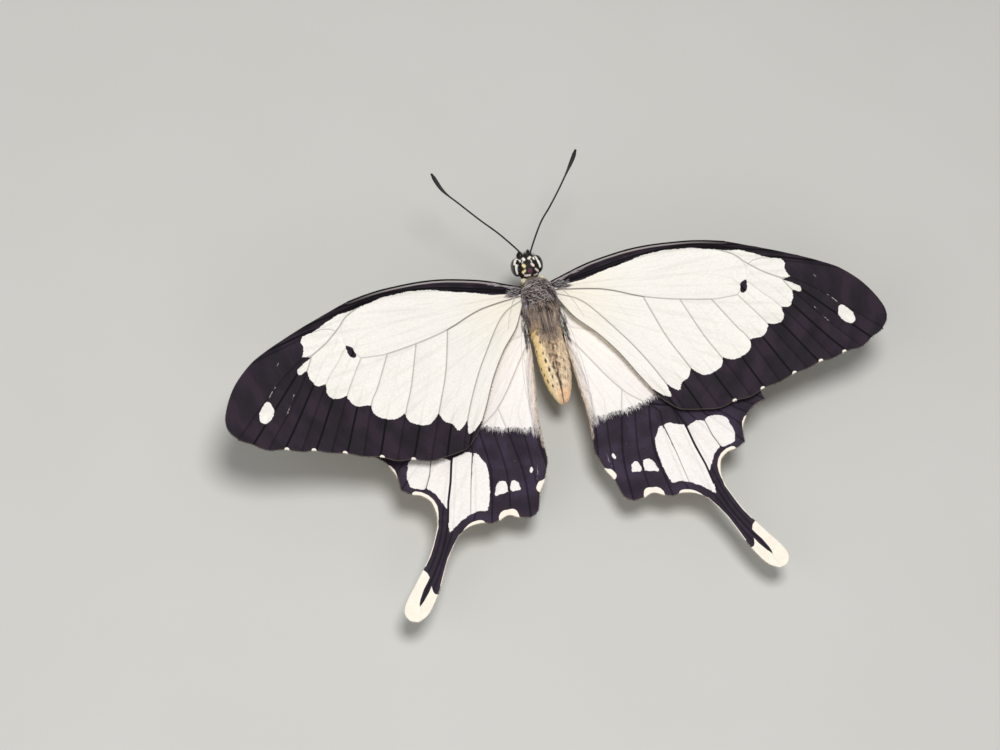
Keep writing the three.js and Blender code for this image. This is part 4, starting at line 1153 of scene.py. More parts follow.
def wingFringe(which, side, rng):
    # Roots spread evenly along the rim, half way down its wall; each hair points out, square to the rim
    fringe = wingHairs["fringe"]
    plan, triangles = sheets[which][:2]
    fields = planFields[which]
    rim = rimOf(triangles)
    clear = fields["baseGap"][rim].mean(1) > fringe["from"]
    rim = rim[clear & (fields["costaGap"][rim].mean(1) > fringe["costaFrom"])]
    along = plan[rim[:, 1]] - plan[rim[:, 0]]
    long = np.linalg.norm(along, axis=1)
    count = int(long.sum() * fringe["perMm"])
    pick = rng.choice(len(rim), count, p=long / long.sum())
    share = rng.random((count, 1))
    a, b = rim[pick].T
    outward = np.stack([along[pick, 1], -along[pick, 0]], -1) * windingOf(plan, triangles) / long[pick, None]
    ways = wingWay(outward + fringe["wander"] * rng.normal(size=(count, 2)), which, side)
    middle = np.mean(np.split(wingTops[which, side][0], 2), axis=0)
    root = middle[a] * (1 - share) + middle[b] * share
    pale = (fields["rimDepth"][a] > -0.06) | ((fields["creamDepth"][a] > 0.0) & (rng.random(count) < 0.7))
    out, ahead = (wingWay(np.tile(way, (count, 1)), which, side) for way in ([1.0, 0.0], [0.0, 1.0]))
    up = np.cross(out, ahead) * flip[side][0]

    def rimPigment(p, rng):
        return laidOver(pigment(fringe["dark"], count), fringe["pale"], pale)

    lot = hairLot((root, up, planMap(plan, which)[a]), rng, ways, {**fringe, "tint": rimPigment})
    # a hair whose tip would pass the whole box is left out
    tips = standing(root + ways * (lot["length"] / np.linalg.norm(ways, axis=1))[:, None])
    low, high = np.array(cadBox) * 1000
    inBox = ((tips > low + fringe["margin"]) & (tips < high - fringe["margin"])).all(1)
    return clearOf(lot, (outward[:, 1] < fringe["facing"]) & inBox)


for side in sides:
    for which in sheets:
        rng = np.random.default_rng(wingHairs["seed"])
        lots = [hairOnWing(lot, which, side, rng) for lot in wingHairs[which]]
        lots.append(wingFringe(which, side, rng))
        makeHairs(f"{which}wing{side.title()}Hair", lots, "wingHair")
print("wing hair done")

# Thorax: dark cuticle under matted hair, silvery squiggles between the sutures, pinkish tan behind
thorax = {
    "sections": [
        (-3.58, 0.15, 0.15, -0.5), (-3.5, 0.95, 1.05, -0.5), (-3.3, 1.55, 1.75, -0.5),
        (-2.7, 2.1, 2.4, -0.45), (-1.9, 2.5, 2.85, -0.3), (-1.0, 2.7, 3.12, -0.2), (0.0, 2.75, 3.25, -0.15),
        (1.4, 2.62, 3.1, -0.2), (2.5, 2.3, 2.65, -0.35), (3.05, 1.9, 2.2, -0.48), (3.17, 1.1, 1.3, -0.5),
        (3.19, 0.15, 0.15, -0.5)],
    "coat": 0.15,
    "skin": 0x2E2724,
    "under": 0x55483F,
    "tones": [(0x85756A, 0.3), (0x443833, 0.32), (0xA39287, 0.25), (0xC7B8AC, 0.13)],
    "silver": [(0x5E4E4B, 0.34), (0x372A27, 0.46), (0x85746D, 0.2)],
    "rear": [(0xB8A191, 0.36), (0x84705F, 0.26), (0xDAC8B9, 0.28), (0x4A3B33, 0.1)],
    "blots": [(0x33271F, 0.62), (0x5C493C, 0.38)],
    "tuft": [(0xB3A4A9, 0.3), (0x43383B, 0.44), (0xE2D8DC, 0.26)],
    "collar": [(0x9A8A66, 0.45), (0x5A4D3A, 0.3), (0xC2B088, 0.25)],
    "belly": [(0x4A3E36, 0.45), (0x8E7F6A, 0.3), (0xC9B98F, 0.25)],
    "suture": 1.75,
    "coatHair": {
        "seed": 12, "count": 9000, "length": (0.5, 1.15), "width": (0.022, 0.036), "curl": (0.16, 0.28),
        "rise": (14, 30), "topRise": 14},
    "squiggles": {  # wavy silvery hair-scales lying across the back in front, between the sutures
        "seed": 13, "count": 150, "within": {"aside": (-1, 1.95), "along": (-3.0, 1.1), "up": (1.1, 9)},
        "length": (0.8, 1.5), "width": 0.066, "rise": (9, 18), "curl": (0.12, 0.22), "wave": 0.17,
        "stations": (0.0, 0.17, 0.34, 0.51, 0.68, 0.85), "tones": [(0xEADFDD, 0.6), (0xBDAFAB, 0.4)]},
    "shawl": {  # long hair over the waist, each to its own place on the front of the abdomen, a little bowed
        "seed": 14, "count": 2100, "within": {"along": (1.3, 9), "up": (-1.2, 9)}, "to": (3.75, 5.9),
        "radii": (1.85, 2.2), "middle": -0.5, "width": 0.034, "curl": 0.1,
        "yellow": [(0xF0D69E, 0.5), (0xDDBF8E, 0.3), (0x94805F, 0.2)],
        "pink": [(0xE3CDBD, 0.5), (0xBFA593, 0.3), (0x6E5B4E, 0.2)]},
    "streaks": {  # dark hair beside the body over the wings' roots
        "seed": 15, "count": 420, "within": {"aside": (2.2, 2.75), "along": (-0.8, 2.4), "up": (0.2, 1.3)},
        "length": (1.3, 2.5), "width": 0.036, "rise": (3, 9), "curl": 0.03,
        "tones": [(0x362C2B, 0.62), (0x8A7C78, 0.2), (0xDCD2CC, 0.18)]},
    "seed": 11,
}


def swirl(p):
    # A slowly turning angle over the back, in radians: three waves across each other
    x, y, z = p.T
    waves = [(1.1, 2.6, 2.1, 1.3), (0.9, 4.3, -3.4, 0.4), (0.5, 1.7, 7.1, 0.0)]
    return sum(height * np.sin(out * x + back * y + start) for height, out, back, start in waves)


def mottle(y, arc, scale):
    # Uneven patches about scale mm across: five waves across each other, about -1 to 1
    ways = np.radians([10, 75, 130, 200, 290])
    waves = [(y * np.cos(w) + arc * np.sin(w)) * (5.5 + k) / scale + 2.1 * k for k, w in enumerate(ways)]
    return sum(np.sin(wave) for wave in waves) / 3


def thoraxPigment(p, rng):
    x, y, z = p.T
    tint = mixedPigment(thorax["tones"], len(p), rng)
    top = z > 0.9
    zones = [
        ("silver", top & (np.abs(x) < thorax["suture"] - 0.1) & (y + 0.25 * rng.normal(size=len(p)) < 0.4)),
        ("rear", (z > -0.6) & (y + 0.35 * rng.normal(size=len(p)) > 0.7)),
        ("tuft", (np.abs(x) > thorax["suture"] + 0.1) & (z > -0.8) & (y < 0.6)),
        ("collar", (y < -2.75) & (z > -1.2)),
        ("belly", z < -1.4),
    ]
    blotched = mottle(y, x, 1.3) + 0.15 * rng.normal(size=len(p)) > 0.3
    blotched = blotched & (np.abs(x) < 1.7) & (z > 0) & (y > -0.6)
    for key, where in [*zones, ("blots", blotched)]:
        tint[where] = mixedPigment(thorax[key], len(p), rng)[where]
    suture = top & (np.abs(np.abs(x) - thorax["suture"]) < 0.14) & (y < 0.6) & (y > -2.6)
    tint[suture] = linear(thorax["skin"])[:3]
    return tint


def rearward(p, spread, rng, wander=0.25):
    # Hair lies to the rear and a little outwards
    flat = 0 * p[:, 0]
    return np.stack([spread * p[:, 0], 1 + flat, flat - 0.15], -1) + wander * rng.normal(size=p.shape)


def shawlPigment(p, rng):
    # The tan of the thorax's rear with dark blots, yellow on the left flank and pink on the right
    x, y, z = p.T
    flank = (y > 2.1) & (smoothStep(np.abs(x), 0.5, 1.5) > 0.5)
    places = [flank & (x > 0), flank, mottle(0.5 * y, x, 1.0) > 0.35]
    tones = [mixedPigment(tones, len(p), rng) for tones in (shawl["yellow"], shawl["pink"], thorax["blots"])]
    return np.select([place[:, None] for place in places], tones, mixedPigment(thorax["rear"], len(p), rng))


rng = np.random.default_rng(thorax["seed"])
thoraxMesh = closedGrid(ovalSkin(thorax["sections"], thorax["coat"], perSpan=10, around=96))
count = len(thoraxMesh[0])
tint = laidOver(pigment(thorax["skin"], count), thorax["under"], 0.4 * rng.random(count))
skinPiece("thoraxSkin", thoraxMesh, "thoraxSkin", ["thorax"], tint)
coat = thorax["coatHair"]
spots = scatter(*thoraxMesh, coat["count"], rng)
count, (x, y, z) = len(spots[0]), spots[0].T
top = smoothStep(z, 0.6, 1.6) * (1 - smoothStep(y, 0.2, 1.0)) * (np.abs(x) < thorax["suture"])
out, back, up = rearward(spots[0], 0.22, rng).T
turn = swirl(spots[0]) * top
lay = np.stack([out * np.cos(turn) + back * np.sin(turn), back * np.cos(turn) - out * np.sin(turn), up], -1)
coatLots = [hairLot(spots, rng, lay, {
    **coat,
    "length": between(coat["length"], count, rng) * (1 - 0.15 * top) + 0.35 * smoothStep(y, 1.6, 3.0),
    "width": between(coat["width"], count, rng),
    "rise": between(coat["rise"], count, rng) + coat["topRise"] * top,
    "tint": thoraxPigment})]
squiggles = thorax["squiggles"]
spots = scatter(*thoraxMesh, squiggles["count"], rng, facesWithin(thoraxMesh, squiggles["within"]))
count = squiggles["count"]
lay = np.stack([rng.choice([-1.0, 1.0], count), 0.45 * rng.normal(size=count), np.zeros(count)], -1)
coatLots.append(hairLot(spots, rng, lay, squiggles, wave=squiggles["wave"], stations=squiggles["stations"]))
# shawl: from the rear of the thorax back over the waist
shawl = thorax["shawl"]
spots = scatter(*thoraxMesh, shawl["count"], rng, facesWithin(thoraxMesh, shawl["within"]))
root, normal, _ = spots
angle = np.arctan2(root[:, 0], root[:, 2] - shawl["middle"]) + 0.05 * rng.normal(size=len(root))
aside = smoothStep(np.abs(root[:, 0]), 0.5, 1.5)
near, far = shawl["to"]
to = near + (far - near) * rng.random(len(root)) * (1 - 0.65 * aside)  # longest in the middle
radius = np.interp(to, shawl["to"], shawl["radii"])
way = np.stack([radius * np.sin(angle), to, shawl["middle"] + radius * np.cos(angle)], -1) - root
long = np.linalg.norm(way, axis=1)
rise = np.degrees(np.arcsin(np.clip((way * normal).sum(1) / long + shawl["curl"], -0.95, 0.95)))
coatLots.append(hairLot(spots, rng, way, {**shawl, "length": long, "rise": rise, "tint": shawlPigment}))
# streaks: dark hair from the sides of the thorax lying back over the wings' roots
streaks = thorax["streaks"]
spots = scatter(*thoraxMesh, streaks["count"], rng, facesWithin(thoraxMesh, streaks["within"]))
flat = 0 * spots[0][:, 0]
lay = np.stack([0.16 * np.sign(spots[0][:, 0]), 1 + flat, flat - 0.1], -1)
coatLots.append(hairLot(spots, rng, lay + 0.06 * rng.normal(size=lay.shape), streaks))
makeHairs("thoraxHair", coatLots, "thoraxHair")

# Patagia: the collar's two small lobes, each thick with cream scales
patagia = {
    "at": (1.3, -3.28, 0.76), "radii": (0.38, 0.32, 0.38), "colour": 0xFFF7DA, "rim": 0xE2CC94,
    "scales": {"seed": 16, "count": 300, "length": (0.16, 0.3), "width": 0.04, "rise": (12, 35), "curl": 0.1},
}


def lobePigment(p, rng):
    return laidOver(pigment(patagia["colour"], len(p)), patagia["rim"], 0.5 * (rng.random(len(p)) < 0.15))


lobeLots = []
for side in sides:
    mesh = closedGrid(ball(patagia["at"], patagia["radii"], rows=25, columns=33) * flip[side])
    skinPiece(f"patagium{side.title()}", mesh, "headSkin", (), patagia["colour"])
    spots = scatter(*mesh, patagia["scales"]["count"], rng)
    lay = rearward(spots[0], 0.3, rng, 0.3)
    lobeLots.append(hairLot(spots, rng, lay, {**patagia["scales"], "tint": lobePigment}))
makeHairs("patagiumScales", lobeLots, "headScale")

# Neck and waist: bare dark membrane between the three parts, hidden by their coats
joins = {
    "colour": 0x54473F,
    "drawnIn": 0.1,
    "neck": [
        (-4.4, 0.1, 0.1, -0.4), (-4.35, 0.6, 0.7, -0.4), (-3.8, 0.72, 0.85, -0.42), (-3.3, 0.8, 0.9, -0.5),
        (-3.25, 0.1, 0.1, -0.5)],
    "waist": [
        (2.75, 0.1, 0.1, -0.5), (2.8, 1.55, 1.7, -0.5), (3.35, 1.68, 1.78, -0.5), (3.95, 1.7, 1.7, -0.5),
        (4.05, 0.1, 0.1, -0.5)],
}
for name in ("neck", "waist"):
    mesh = closedGrid(ovalSkin(joins[name], joins["drawnIn"], perSpan=8, around=48))
    skinPiece(name + "Membrane", mesh, "thoraxSkin", (), joins["colour"])

# Abdomen: eight rings, a mottled grey band down the back with a dark line in it, cream beside it, pale
# yellow flanks with rows of dark dots, peach claspers at the end; places are [y, arc from the middle of the
# back, left above zero] in mm
abdomen = {
    "start": 3.5,
    "end": 14.75,
    "segments": 8,
    "radii": [1.85, 2.1, 2.2, 2.24, 2.22, 2.1, 1.87, 1.45, 0.8],
    "coat": 0.07,
    "drop": (-0.5, -1.45),
    "groove": 0.07,
    "cleft": (13.75, 0.15, 0.45, 0.2),  # its start, half width, depth as a share and place left of the middle
    "band": 0xAC8B70,
    "bandDark": 0x49372C,
    "middle": 0xF8E3BE,
    "right": 0xF2D7B9,
    "flank": 0xFFE2A5,
    "belly": 0xEBDAB2,
    "tip": 0xF5CEA6,
    "tipRim": 0xF8E3B8,
    "line": 0x3A2A22,
    "dot": 0x2A1D18,
    "base": 0xA48F80,
    "fur": {  # thin hair over the first rings, like the thorax's
        "seed": 23, "count": 1500, "within": {"aside": (-1, 1.3), "up": (-1.3, 9)}, "to": 6.4,
        "length": (0.6, 1.4), "width": 0.03, "rise": (6, 16), "curl": 0.06,
        "tones": [(0xC3AB99, 0.34), (0x75614F, 0.2), (0xE2CFBE, 0.34), (0x3A2C26, 0.12)]},
    "lineRoute": [(3.6, 0.1), (6.2, 0.2), (7.3, 0.02), (8.6, 0.12), (9.9, 0.22), (11.5, 0.3), (13.4, 0.2),
    (14.75, 0.2)],
    "dots": [
        (4.45, 1.78, 0.24), (6.1, 1.79, 0.21), (7.78, 1.82, 0.19), (8.96, 1.72, 0.27), (10.27, 1.45, 0.27),
        (10.6, 2.71, 0.2), (11.35, 1.2, 0.19), (11.62, 2.25, 0.23), (12.44, 1.49, 0.18), (7.05, 3.01, 0.2),
        (9.64, 2.99, 0.2), (9.37, -1.13, 0.2), (10.57, -1.01, 0.22), (11.6, -1.3, 0.18), (4.5, -1.75, 0.22),
        (6.15, -1.8, 0.2), (7.7, -1.75, 0.2), (7.1, -3.0, 0.2), (9.0, -2.6, 0.24), (10.4, -2.45, 0.2),
        (11.5, -2.3, 0.2), (12.4, -1.9, 0.18)],
    "scales": {"seed": 22, "count": 9500, "length": (0.22, 0.36), "curl": (0.06, 0.16)},
    "seed": 21,
}


def abdomenGrid():
    # Radius along the rings' table, less the coat's depth; each ring bulges by groove (1 - |cos(pi
    # place)|^6), and the end closes like a dome: r sqrt(1 - t^2)
    perRing, around = 16, 96
    place = np.linspace(0, abdomen["segments"], abdomen["segments"] * perRing + 1)
    radius = np.interp(place, np.arange(9), abdomen["radii"])
    smooth = splineThrough(np.array(abdomen["radii"])[:, None], perRing)[:, 0]
    grooves = abdomen["groove"] * np.abs(np.cos(np.pi * place)) ** 6
    radius = 0.5 * radius + 0.5 * smooth - abdomen["coat"] - grooves
    share = place / abdomen["segments"]
    y = abdomen["start"] + (abdomen["end"] - abdomen["start"]) * share
    radius = radius * np.sqrt(np.sin(np.pi / 2 * np.clip((share + 0.004) / 0.035, 0, 1)))
    dome = np.linspace(0.1, 1, 9)
    # the last ring closes over its own last millimetre, so the end is blunt and inside the node
    close = np.clip((y - (abdomen["end"] - 0.55)) / 0.55, 0, 0.999)
    radius = radius * np.sqrt(1 - 0.45 * close**2)
    y = np.concatenate([[y[0]], y, y[-1] + 0 * dome])
    radius = np.concatenate([[0.0], radius, radius[-1] * (1 - dome)])
    share = (y - abdomen["start"]) / (abdomen["end"] - abdomen["start"])
    middle = abdomen["drop"][0] + (abdomen["drop"][1] - abdomen["drop"][0]) * np.clip(share, 0, 1) ** 2
    angle = np.linspace(-np.pi, np.pi, around + 1)
    start, half, deep, out = abdomen["cleft"]
    across, up = radius[:, None] * np.sin(angle), radius[:, None] * np.cos(angle)
    cut = deep * smoothStep(y, start, start + 0.8)[:, None] * np.exp(-(((across - out) / half) ** 2))
    notch = 1 - cut * (np.cos(angle) > -0.5)
    return np.stack([across, y[:, None] + 0 * angle, middle[:, None] + 0.97 * up * notch], -1)


def abdomenPlace(p):
    # Place along the body, angle from the middle of the back in degrees, left above zero, and the arc in mm
    share = np.clip((p[:, 1] - abdomen["start"]) / (abdomen["end"] - abdomen["start"]), 0, 1)
    middle = abdomen["drop"][0] + (abdomen["drop"][1] - abdomen["drop"][0]) * share**2
    angle = np.arctan2(p[:, 0], p[:, 2] - middle)
    radius = np.interp(share * 8, np.arange(9), abdomen["radii"])
    return p[:, 1], np.degrees(angle), angle * radius


def abdomenPigment(p, rng):
    y, angle, arc = abdomenPlace(p)
    side = np.abs(arc)
    jitter = rng.normal(size=len(p))
    patchy = mottle(y, arc, 1.0)
    tint = pigment(abdomen["middle"], len(p))
    tint = laidOver(tint, abdomen["right"], 0.7 * smoothStep(-arc + 0.3 * patchy, -0.1, 0.9))
    flank = smoothStep(side + 0.1 * jitter + 0.3 * patchy, 1.3, 2.3)
    tint = laidOver(tint, abdomen["flank"], flank * np.where(arc < 0, 0.15, 1))
    tint = laidOver(tint, abdomen["belly"], smoothStep(np.abs(angle), 105, 130))
    # the band is wider in front and lies a little to the left
    half = np.interp(y, [3.5, 5.3, 8.4, 11, 13], [1.35, 1.2, 0.72, 0.42, 0.2])
    shift = np.interp(y, [3.5, 5.3, 8.4, 11, 13], [0.1, 0.14, 0.4, 0.32, 0.25])
    band = 1 - smoothStep(np.abs(arc - shift) + 0.1 * jitter + 0.14 * patchy, half * 0.7, half * 1.15 + 0.1)
    tint = laidOver(tint, abdomen["band"], 0.85 * band)
    pale = smoothStep(mottle(0.8 * y - 2.4, arc + 1.1, 0.62) + 0.2 * jitter, 0.15, 0.5)
    tint = laidOver(tint, abdomen["middle"], 0.6 * pale * band * smoothStep(y, 4.5, 6.0))
    ring = (y - abdomen["start"]) / (abdomen["end"] - abdomen["start"]) * abdomen["segments"]
    seam = np.abs(ring - np.round(ring)) * 1.4
    fleck = smoothStep(mottle(0.7 * y + 3.1, arc, 0.85) + 0.25 * jitter, 0.05, 0.55)
    spread = np.clip(band + 0.3 * (side < 1.5), 0, 1) * (y < 13.2)
    tint = laidOver(tint, abdomen["bandDark"], 0.85 * fleck * spread)
    streaky = smoothStep(mottle(0.35 * y + 7.7, arc, 0.4) + 0.2 * jitter, 0.2, 0.6)
    streaky = streaky * smoothStep(-arc, 0.2, 0.7) * (y < 12.8)
    tint = laidOver(tint, abdomen["bandDark"], 0.5 * streaky)
    seam = (1 - smoothStep(seam, 0.05, 0.2)) * (side < 1.2) * (rng.random(len(p)) < 0.6)
    tint = laidOver(tint, abdomen["bandDark"], 0.35 * seam)
    tip = smoothStep(y + 0.15 * jitter, 12.7, 13.5)
    tint = laidOver(tint, abdomen["tip"], tip)
    tint = laidOver(tint, abdomen["tipRim"], 0.8 * tip * smoothStep(arc, 0.7, 1.1))
    route = np.array(abdomen["lineRoute"])
    line = 1 - smoothStep(np.abs(arc - np.interp(y, route[:, 0], route[:, 1])) + 0.03 * jitter, 0.07, 0.17)
    shown = np.clip(0.55 + 0.6 * mottle(y, 0 * arc, 1.6) + smoothStep(y, 9, 12), 0, 1)
    tint = laidOver(tint, abdomen["line"], 0.85 * line * shown)
    for along, across, size in abdomen["dots"]:
        gap = np.hypot((y - along) / 1.9, arc - across)
        cover = 0.95 if across > 0 else 0.6  # the right side's are faint
        dotted = 1 - smoothStep(gap + 0.02 * jitter, size * 0.5, size * 0.9)
        tint = laidOver(tint, abdomen["dot"], cover * dotted)
    front = (1 - smoothStep(y + 0.4 * jitter, 3.9, 5.4)) * (1 - smoothStep(side, 0.7, 1.3))
    return laidOver(tint, abdomen["base"], 0.9 * front)


rng = np.random.default_rng(abdomen["seed"])
abdomenMesh = closedGrid(abdomenGrid())
tint = abdomenPigment(abdomenMesh[0], rng)
skinPiece("abdomenSkin", abdomenMesh, "abdomenSkin", ["abdomen"], tint)
scales = abdomen["scales"]
spots = scatter(*abdomenMesh, scales["count"], rng)
furry = 1 - smoothStep(spots[0][:, 1], 3.9, 5.6)
lots = [hairLot(spots, rng, rearward(spots[0], 0.02, rng, 0.12), {
    **scales,
    "length": between(scales["length"], len(furry), rng) + 0.9 * furry * rng.random(len(furry)),
    "width": 0.05 - 0.02 * furry,
    "rise": 7 + 16 * furry,
    "tint": abdomenPigment})]
makeHairs("abdomenScales", lots, "abdomenScale")
fur = abdomen["fur"]
thin = 1 - smoothStep(abdomenMesh[0][abdomenMesh[1]].mean(1)[:, 1], abdomen["start"] + 0.4, fur["to"])
spots = scatter(*abdomenMesh, fur["count"], rng, thin * facesWithin(abdomenMesh, fur["within"]))
lots = [hairLot(spots, rng, rearward(spots[0], 0.02, rng, 0.13), fur)]
makeHairs("abdomenFur", lots, "thoraxHair")

eyes = {
    "at": (1.5, -6.1, -0.7),
    "radii": (0.85, 1.32, 1.38),
    "colour": 0x120C0B,
    "drawnIn": 0.02,
    "cream": 0xFFFBF2,
    "arcs": {  # broken cream ring over the upper side of each eye, with half its width
        "left": [([(1.94, -6.26, 0.46), (1.7, -6.78, 0.42), (1.36, -7.02, 0.25), (1.2, -6.85, 0.4)], 0.18),
                 ([(1.8, -5.92, 0.58), (1.88, -5.39, 0.29), (1.8, -4.97, -0.16)], 0.16)],
        "right": [([(-1.14, -7.05, 0.15), (-1.22, -6.7, 0.45), (-1.3, -6.35, 0.6)], 0.19),
                  ([(-1.42, -6.0, 0.66), (-1.51, -5.64, 0.58), (-1.62, -5.24, 0.34)], 0.16)]},
    "scales": {"seed": 36, "count": 420, "length": (0.12, 0.2), "width": 0.034, "rise": 7, "curl": 0.05},
    "seed": 35,
}

# Head: black scales with cream spots, a fringe of dark hair in front
head = {
    "sections": [
        (-7.59, 0.1, 0.1, -0.6), (-7.55, 0.45, 0.5, -0.6), (-7.3, 1.05, 1.15, -0.55), (-6.7, 1.5, 1.6, -0.5),
        (-5.9, 1.7, 1.75, -0.45), (-5.0, 1.6, 1.6, -0.4), (-4.3, 1.25, 1.3, -0.4), (-4.0, 0.9, 1.0, -0.4),
        (-3.96, 0.1, 0.1, -0.4)],
    "coat": 0.08,
    "skin": 0x181213,
    "cream": 0xFFFBF0,
    "yellow": 0xFAE7B2,
    "pink": 0xF8E4DC,
    "red": 0x66324A,
    "spots": [  # a chain of places, its half width and its tone
        ([(1.16, -6.66, 0.5), (1.06, -6.42, 0.7)], 0.16, "cream"),
        ([(0.7, -6.75, 0.88), (0.6, -6.38, 1.05)], 0.21, "cream"),
        ([(0.86, -6.15, 0.98), (0.98, -6.02, 0.94)], 0.09, "cream"),
        ([(-0.1, -6.42, 1.16), (-0.42, -6.72, 1.02)], 0.2, "cream"),
        ([(-0.32, -6.05, 1.24), (-0.38, -5.83, 1.26)], 0.11, "cream"),
        ([(-0.98, -6.75, 0.7), (-0.82, -6.3, 0.96)], 0.17, "cream"),
        ([(0.92, -5.62, 0.97), (0.8, -5.42, 1.04)], 0.23, "yellow"),
        ([(-0.32, -5.5, 1.22), (-0.5, -5.28, 1.15)], 0.2, "pink"),
        ([(0.85, -4.83, 0.88), (1.14, -4.72, 0.48)], 0.17, "yellow"),
        ([(0.14, -4.62, 1.02)], 0.34, "red"),
        ([(-0.75, -4.76, 0.86), (-1.16, -4.6, 0.36)], 0.16, "pink"),
        ([(0.92, -4.26, 0.4), (0.25, -4.07, 0.62)], 0.15, "pink"),
        ([(-0.38, -4.02, 0.5), (-1.0, -4.26, 0.28)], 0.13, "pink"),
        ([(0.5, -7.45, -0.2), (0.45, -7.5, -0.9)], 0.14, "cream"),
        ([(-0.5, -7.45, -0.2), (-0.45, -7.5, -0.9)], 0.14, "cream"),
        ([(1.1, -5.6, -1.5), (1.15, -4.9, -1.3)], 0.2, "cream"),
        ([(-1.1, -5.6, -1.5), (-1.15, -4.9, -1.3)], 0.2, "cream")],
    "scales": {"seed": 32, "count": 3600, "length": (0.16, 0.26), "width": 0.03, "curl": 0.1},
    "fringe": {
        "seed": 33, "count": 260, "within": {"along": (-9, -6.6), "up": (-0.9, 9)}, "length": (0.4, 0.85),
        "width": 0.024, "rise": (25, 60), "curl": 0.12, "tones": [(0x181213, 0.85), (0x6E5F52, 0.15)]},
    "seed": 31,
}


def gapToChain(p, chain):
    # Shortest distance in space from each point to a chain of segments
    chain = np.array(chain, float)
    if len(chain) == 1:
        return np.linalg.norm(p - chain[0], axis=1)
    best = np.full(len(p), 9.0)
    for start, end in zip(chain[:-1], chain[1:]):
        share = np.clip((p - start) @ (end - start) / ((end - start) ** 2).sum(), 0, 1)
        best = np.minimum(best, np.linalg.norm(p - start - share[:, None] * (end - start), axis=1))
    return best


def headPigment(p, rng=None):
    tint = pigment(head["skin"], len(p))
    for chain, half, tone in head["spots"]:
        tint = laidOver(tint, head[tone], 1 - smoothStep(gapToChain(p, chain), half * 0.8, half * 1.2))
    return tint


rng = np.random.default_rng(head["seed"])
headMesh = closedGrid(ovalSkin(head["sections"], head["coat"], perSpan=12, around=128))
skinPiece("headSkin", headMesh, "headSkin", ["head"], headPigment(headMesh[0]))
scales, fringe = head["scales"], head["fringe"]
spots = scatter(*headMesh, scales["count"], rng)
fringeSpots = scatter(*headMesh, fringe["count"], rng, facesWithin(headMesh, fringe["within"]))
face = smoothStep(-spots[0][:, 1], 7.0, 7.5)
lay = rearward(spots[0], 0.1, rng, 0.2) * np.stack([1 + 0 * face, 1 - 2 * face, 1 + 0 * face], -1)
length = between(scales["length"], len(face), rng) + 0.1 * face
lots = [hairLot(spots, rng, lay, {**scales, "length": length, "rise": 12 + 24 * face, "tint": headPigment})]
lay = np.array([0.0, -1.0, 0.5]) + 0.35 * rng.normal(size=fringeSpots[0].shape)
lots.append(hairLot(fringeSpots, rng, lay, fringe))
makeHairs("headScales", lots, "headScale")

antennae = {
    "left": [
        (0.55, -6.7, 0.3), (0.8, -7.6, 0.85), (3.2, -10.3, 2.1), (5.7, -12.6, 3.2), (8.1, -15.1, 4.1),
        (10.1, -17.4, 4.7), (11.1, -20.08, 5)],
    "right": [
        (0.5, -6.6, 0.25), (0.65, -7.4, 0.85), (2.6, -10.5, 2.9), (4.4, -12.4, 4.2), (6.3, -14.6, 5.3),
        (8.6, -17.6, 6.3), (9.6, -19.18, 6.5)],
    "filament": 0.125,
    "club": 0.3,
    "ring": 0.36,  # length of one segment
    "steps": 260,
    "colour": 0x181315,
    "joint": 0x3B322D,
}
palps = {
    "route": [(0.66, -6.9, -1.35), (0.72, -7.9, -1.25), (0.62, -8.1, -0.35)],
    "radius": (0.3, 0.17),
    "colour": 0x1E1718,
    "cream": 0xE9DFC8,
    "scales": {"seed": 43, "count": 800, "length": (0.15, 0.34), "width": 0.025, "rise": 20, "curl": 0.1},
    "seed": {"left": 41, "right": 42},
}
proboscis = {
    "centre": (-7.1, -3.5), "outer": 1.45, "inner": 0.35, "turns": 1.45, "radius": (0.2, 0.12),
    "colour": 0x2B1F1A}


def orbitPigment(p, rng):
    return pigment(eyes["cream"], len(p))


def palpPigment(p, rng=None):
    # Cream underneath
    return laidOver(pigment(palps["colour"], len(p)), palps["cream"], 1 - smoothStep(p[:, 2], -1.45, -1.2))


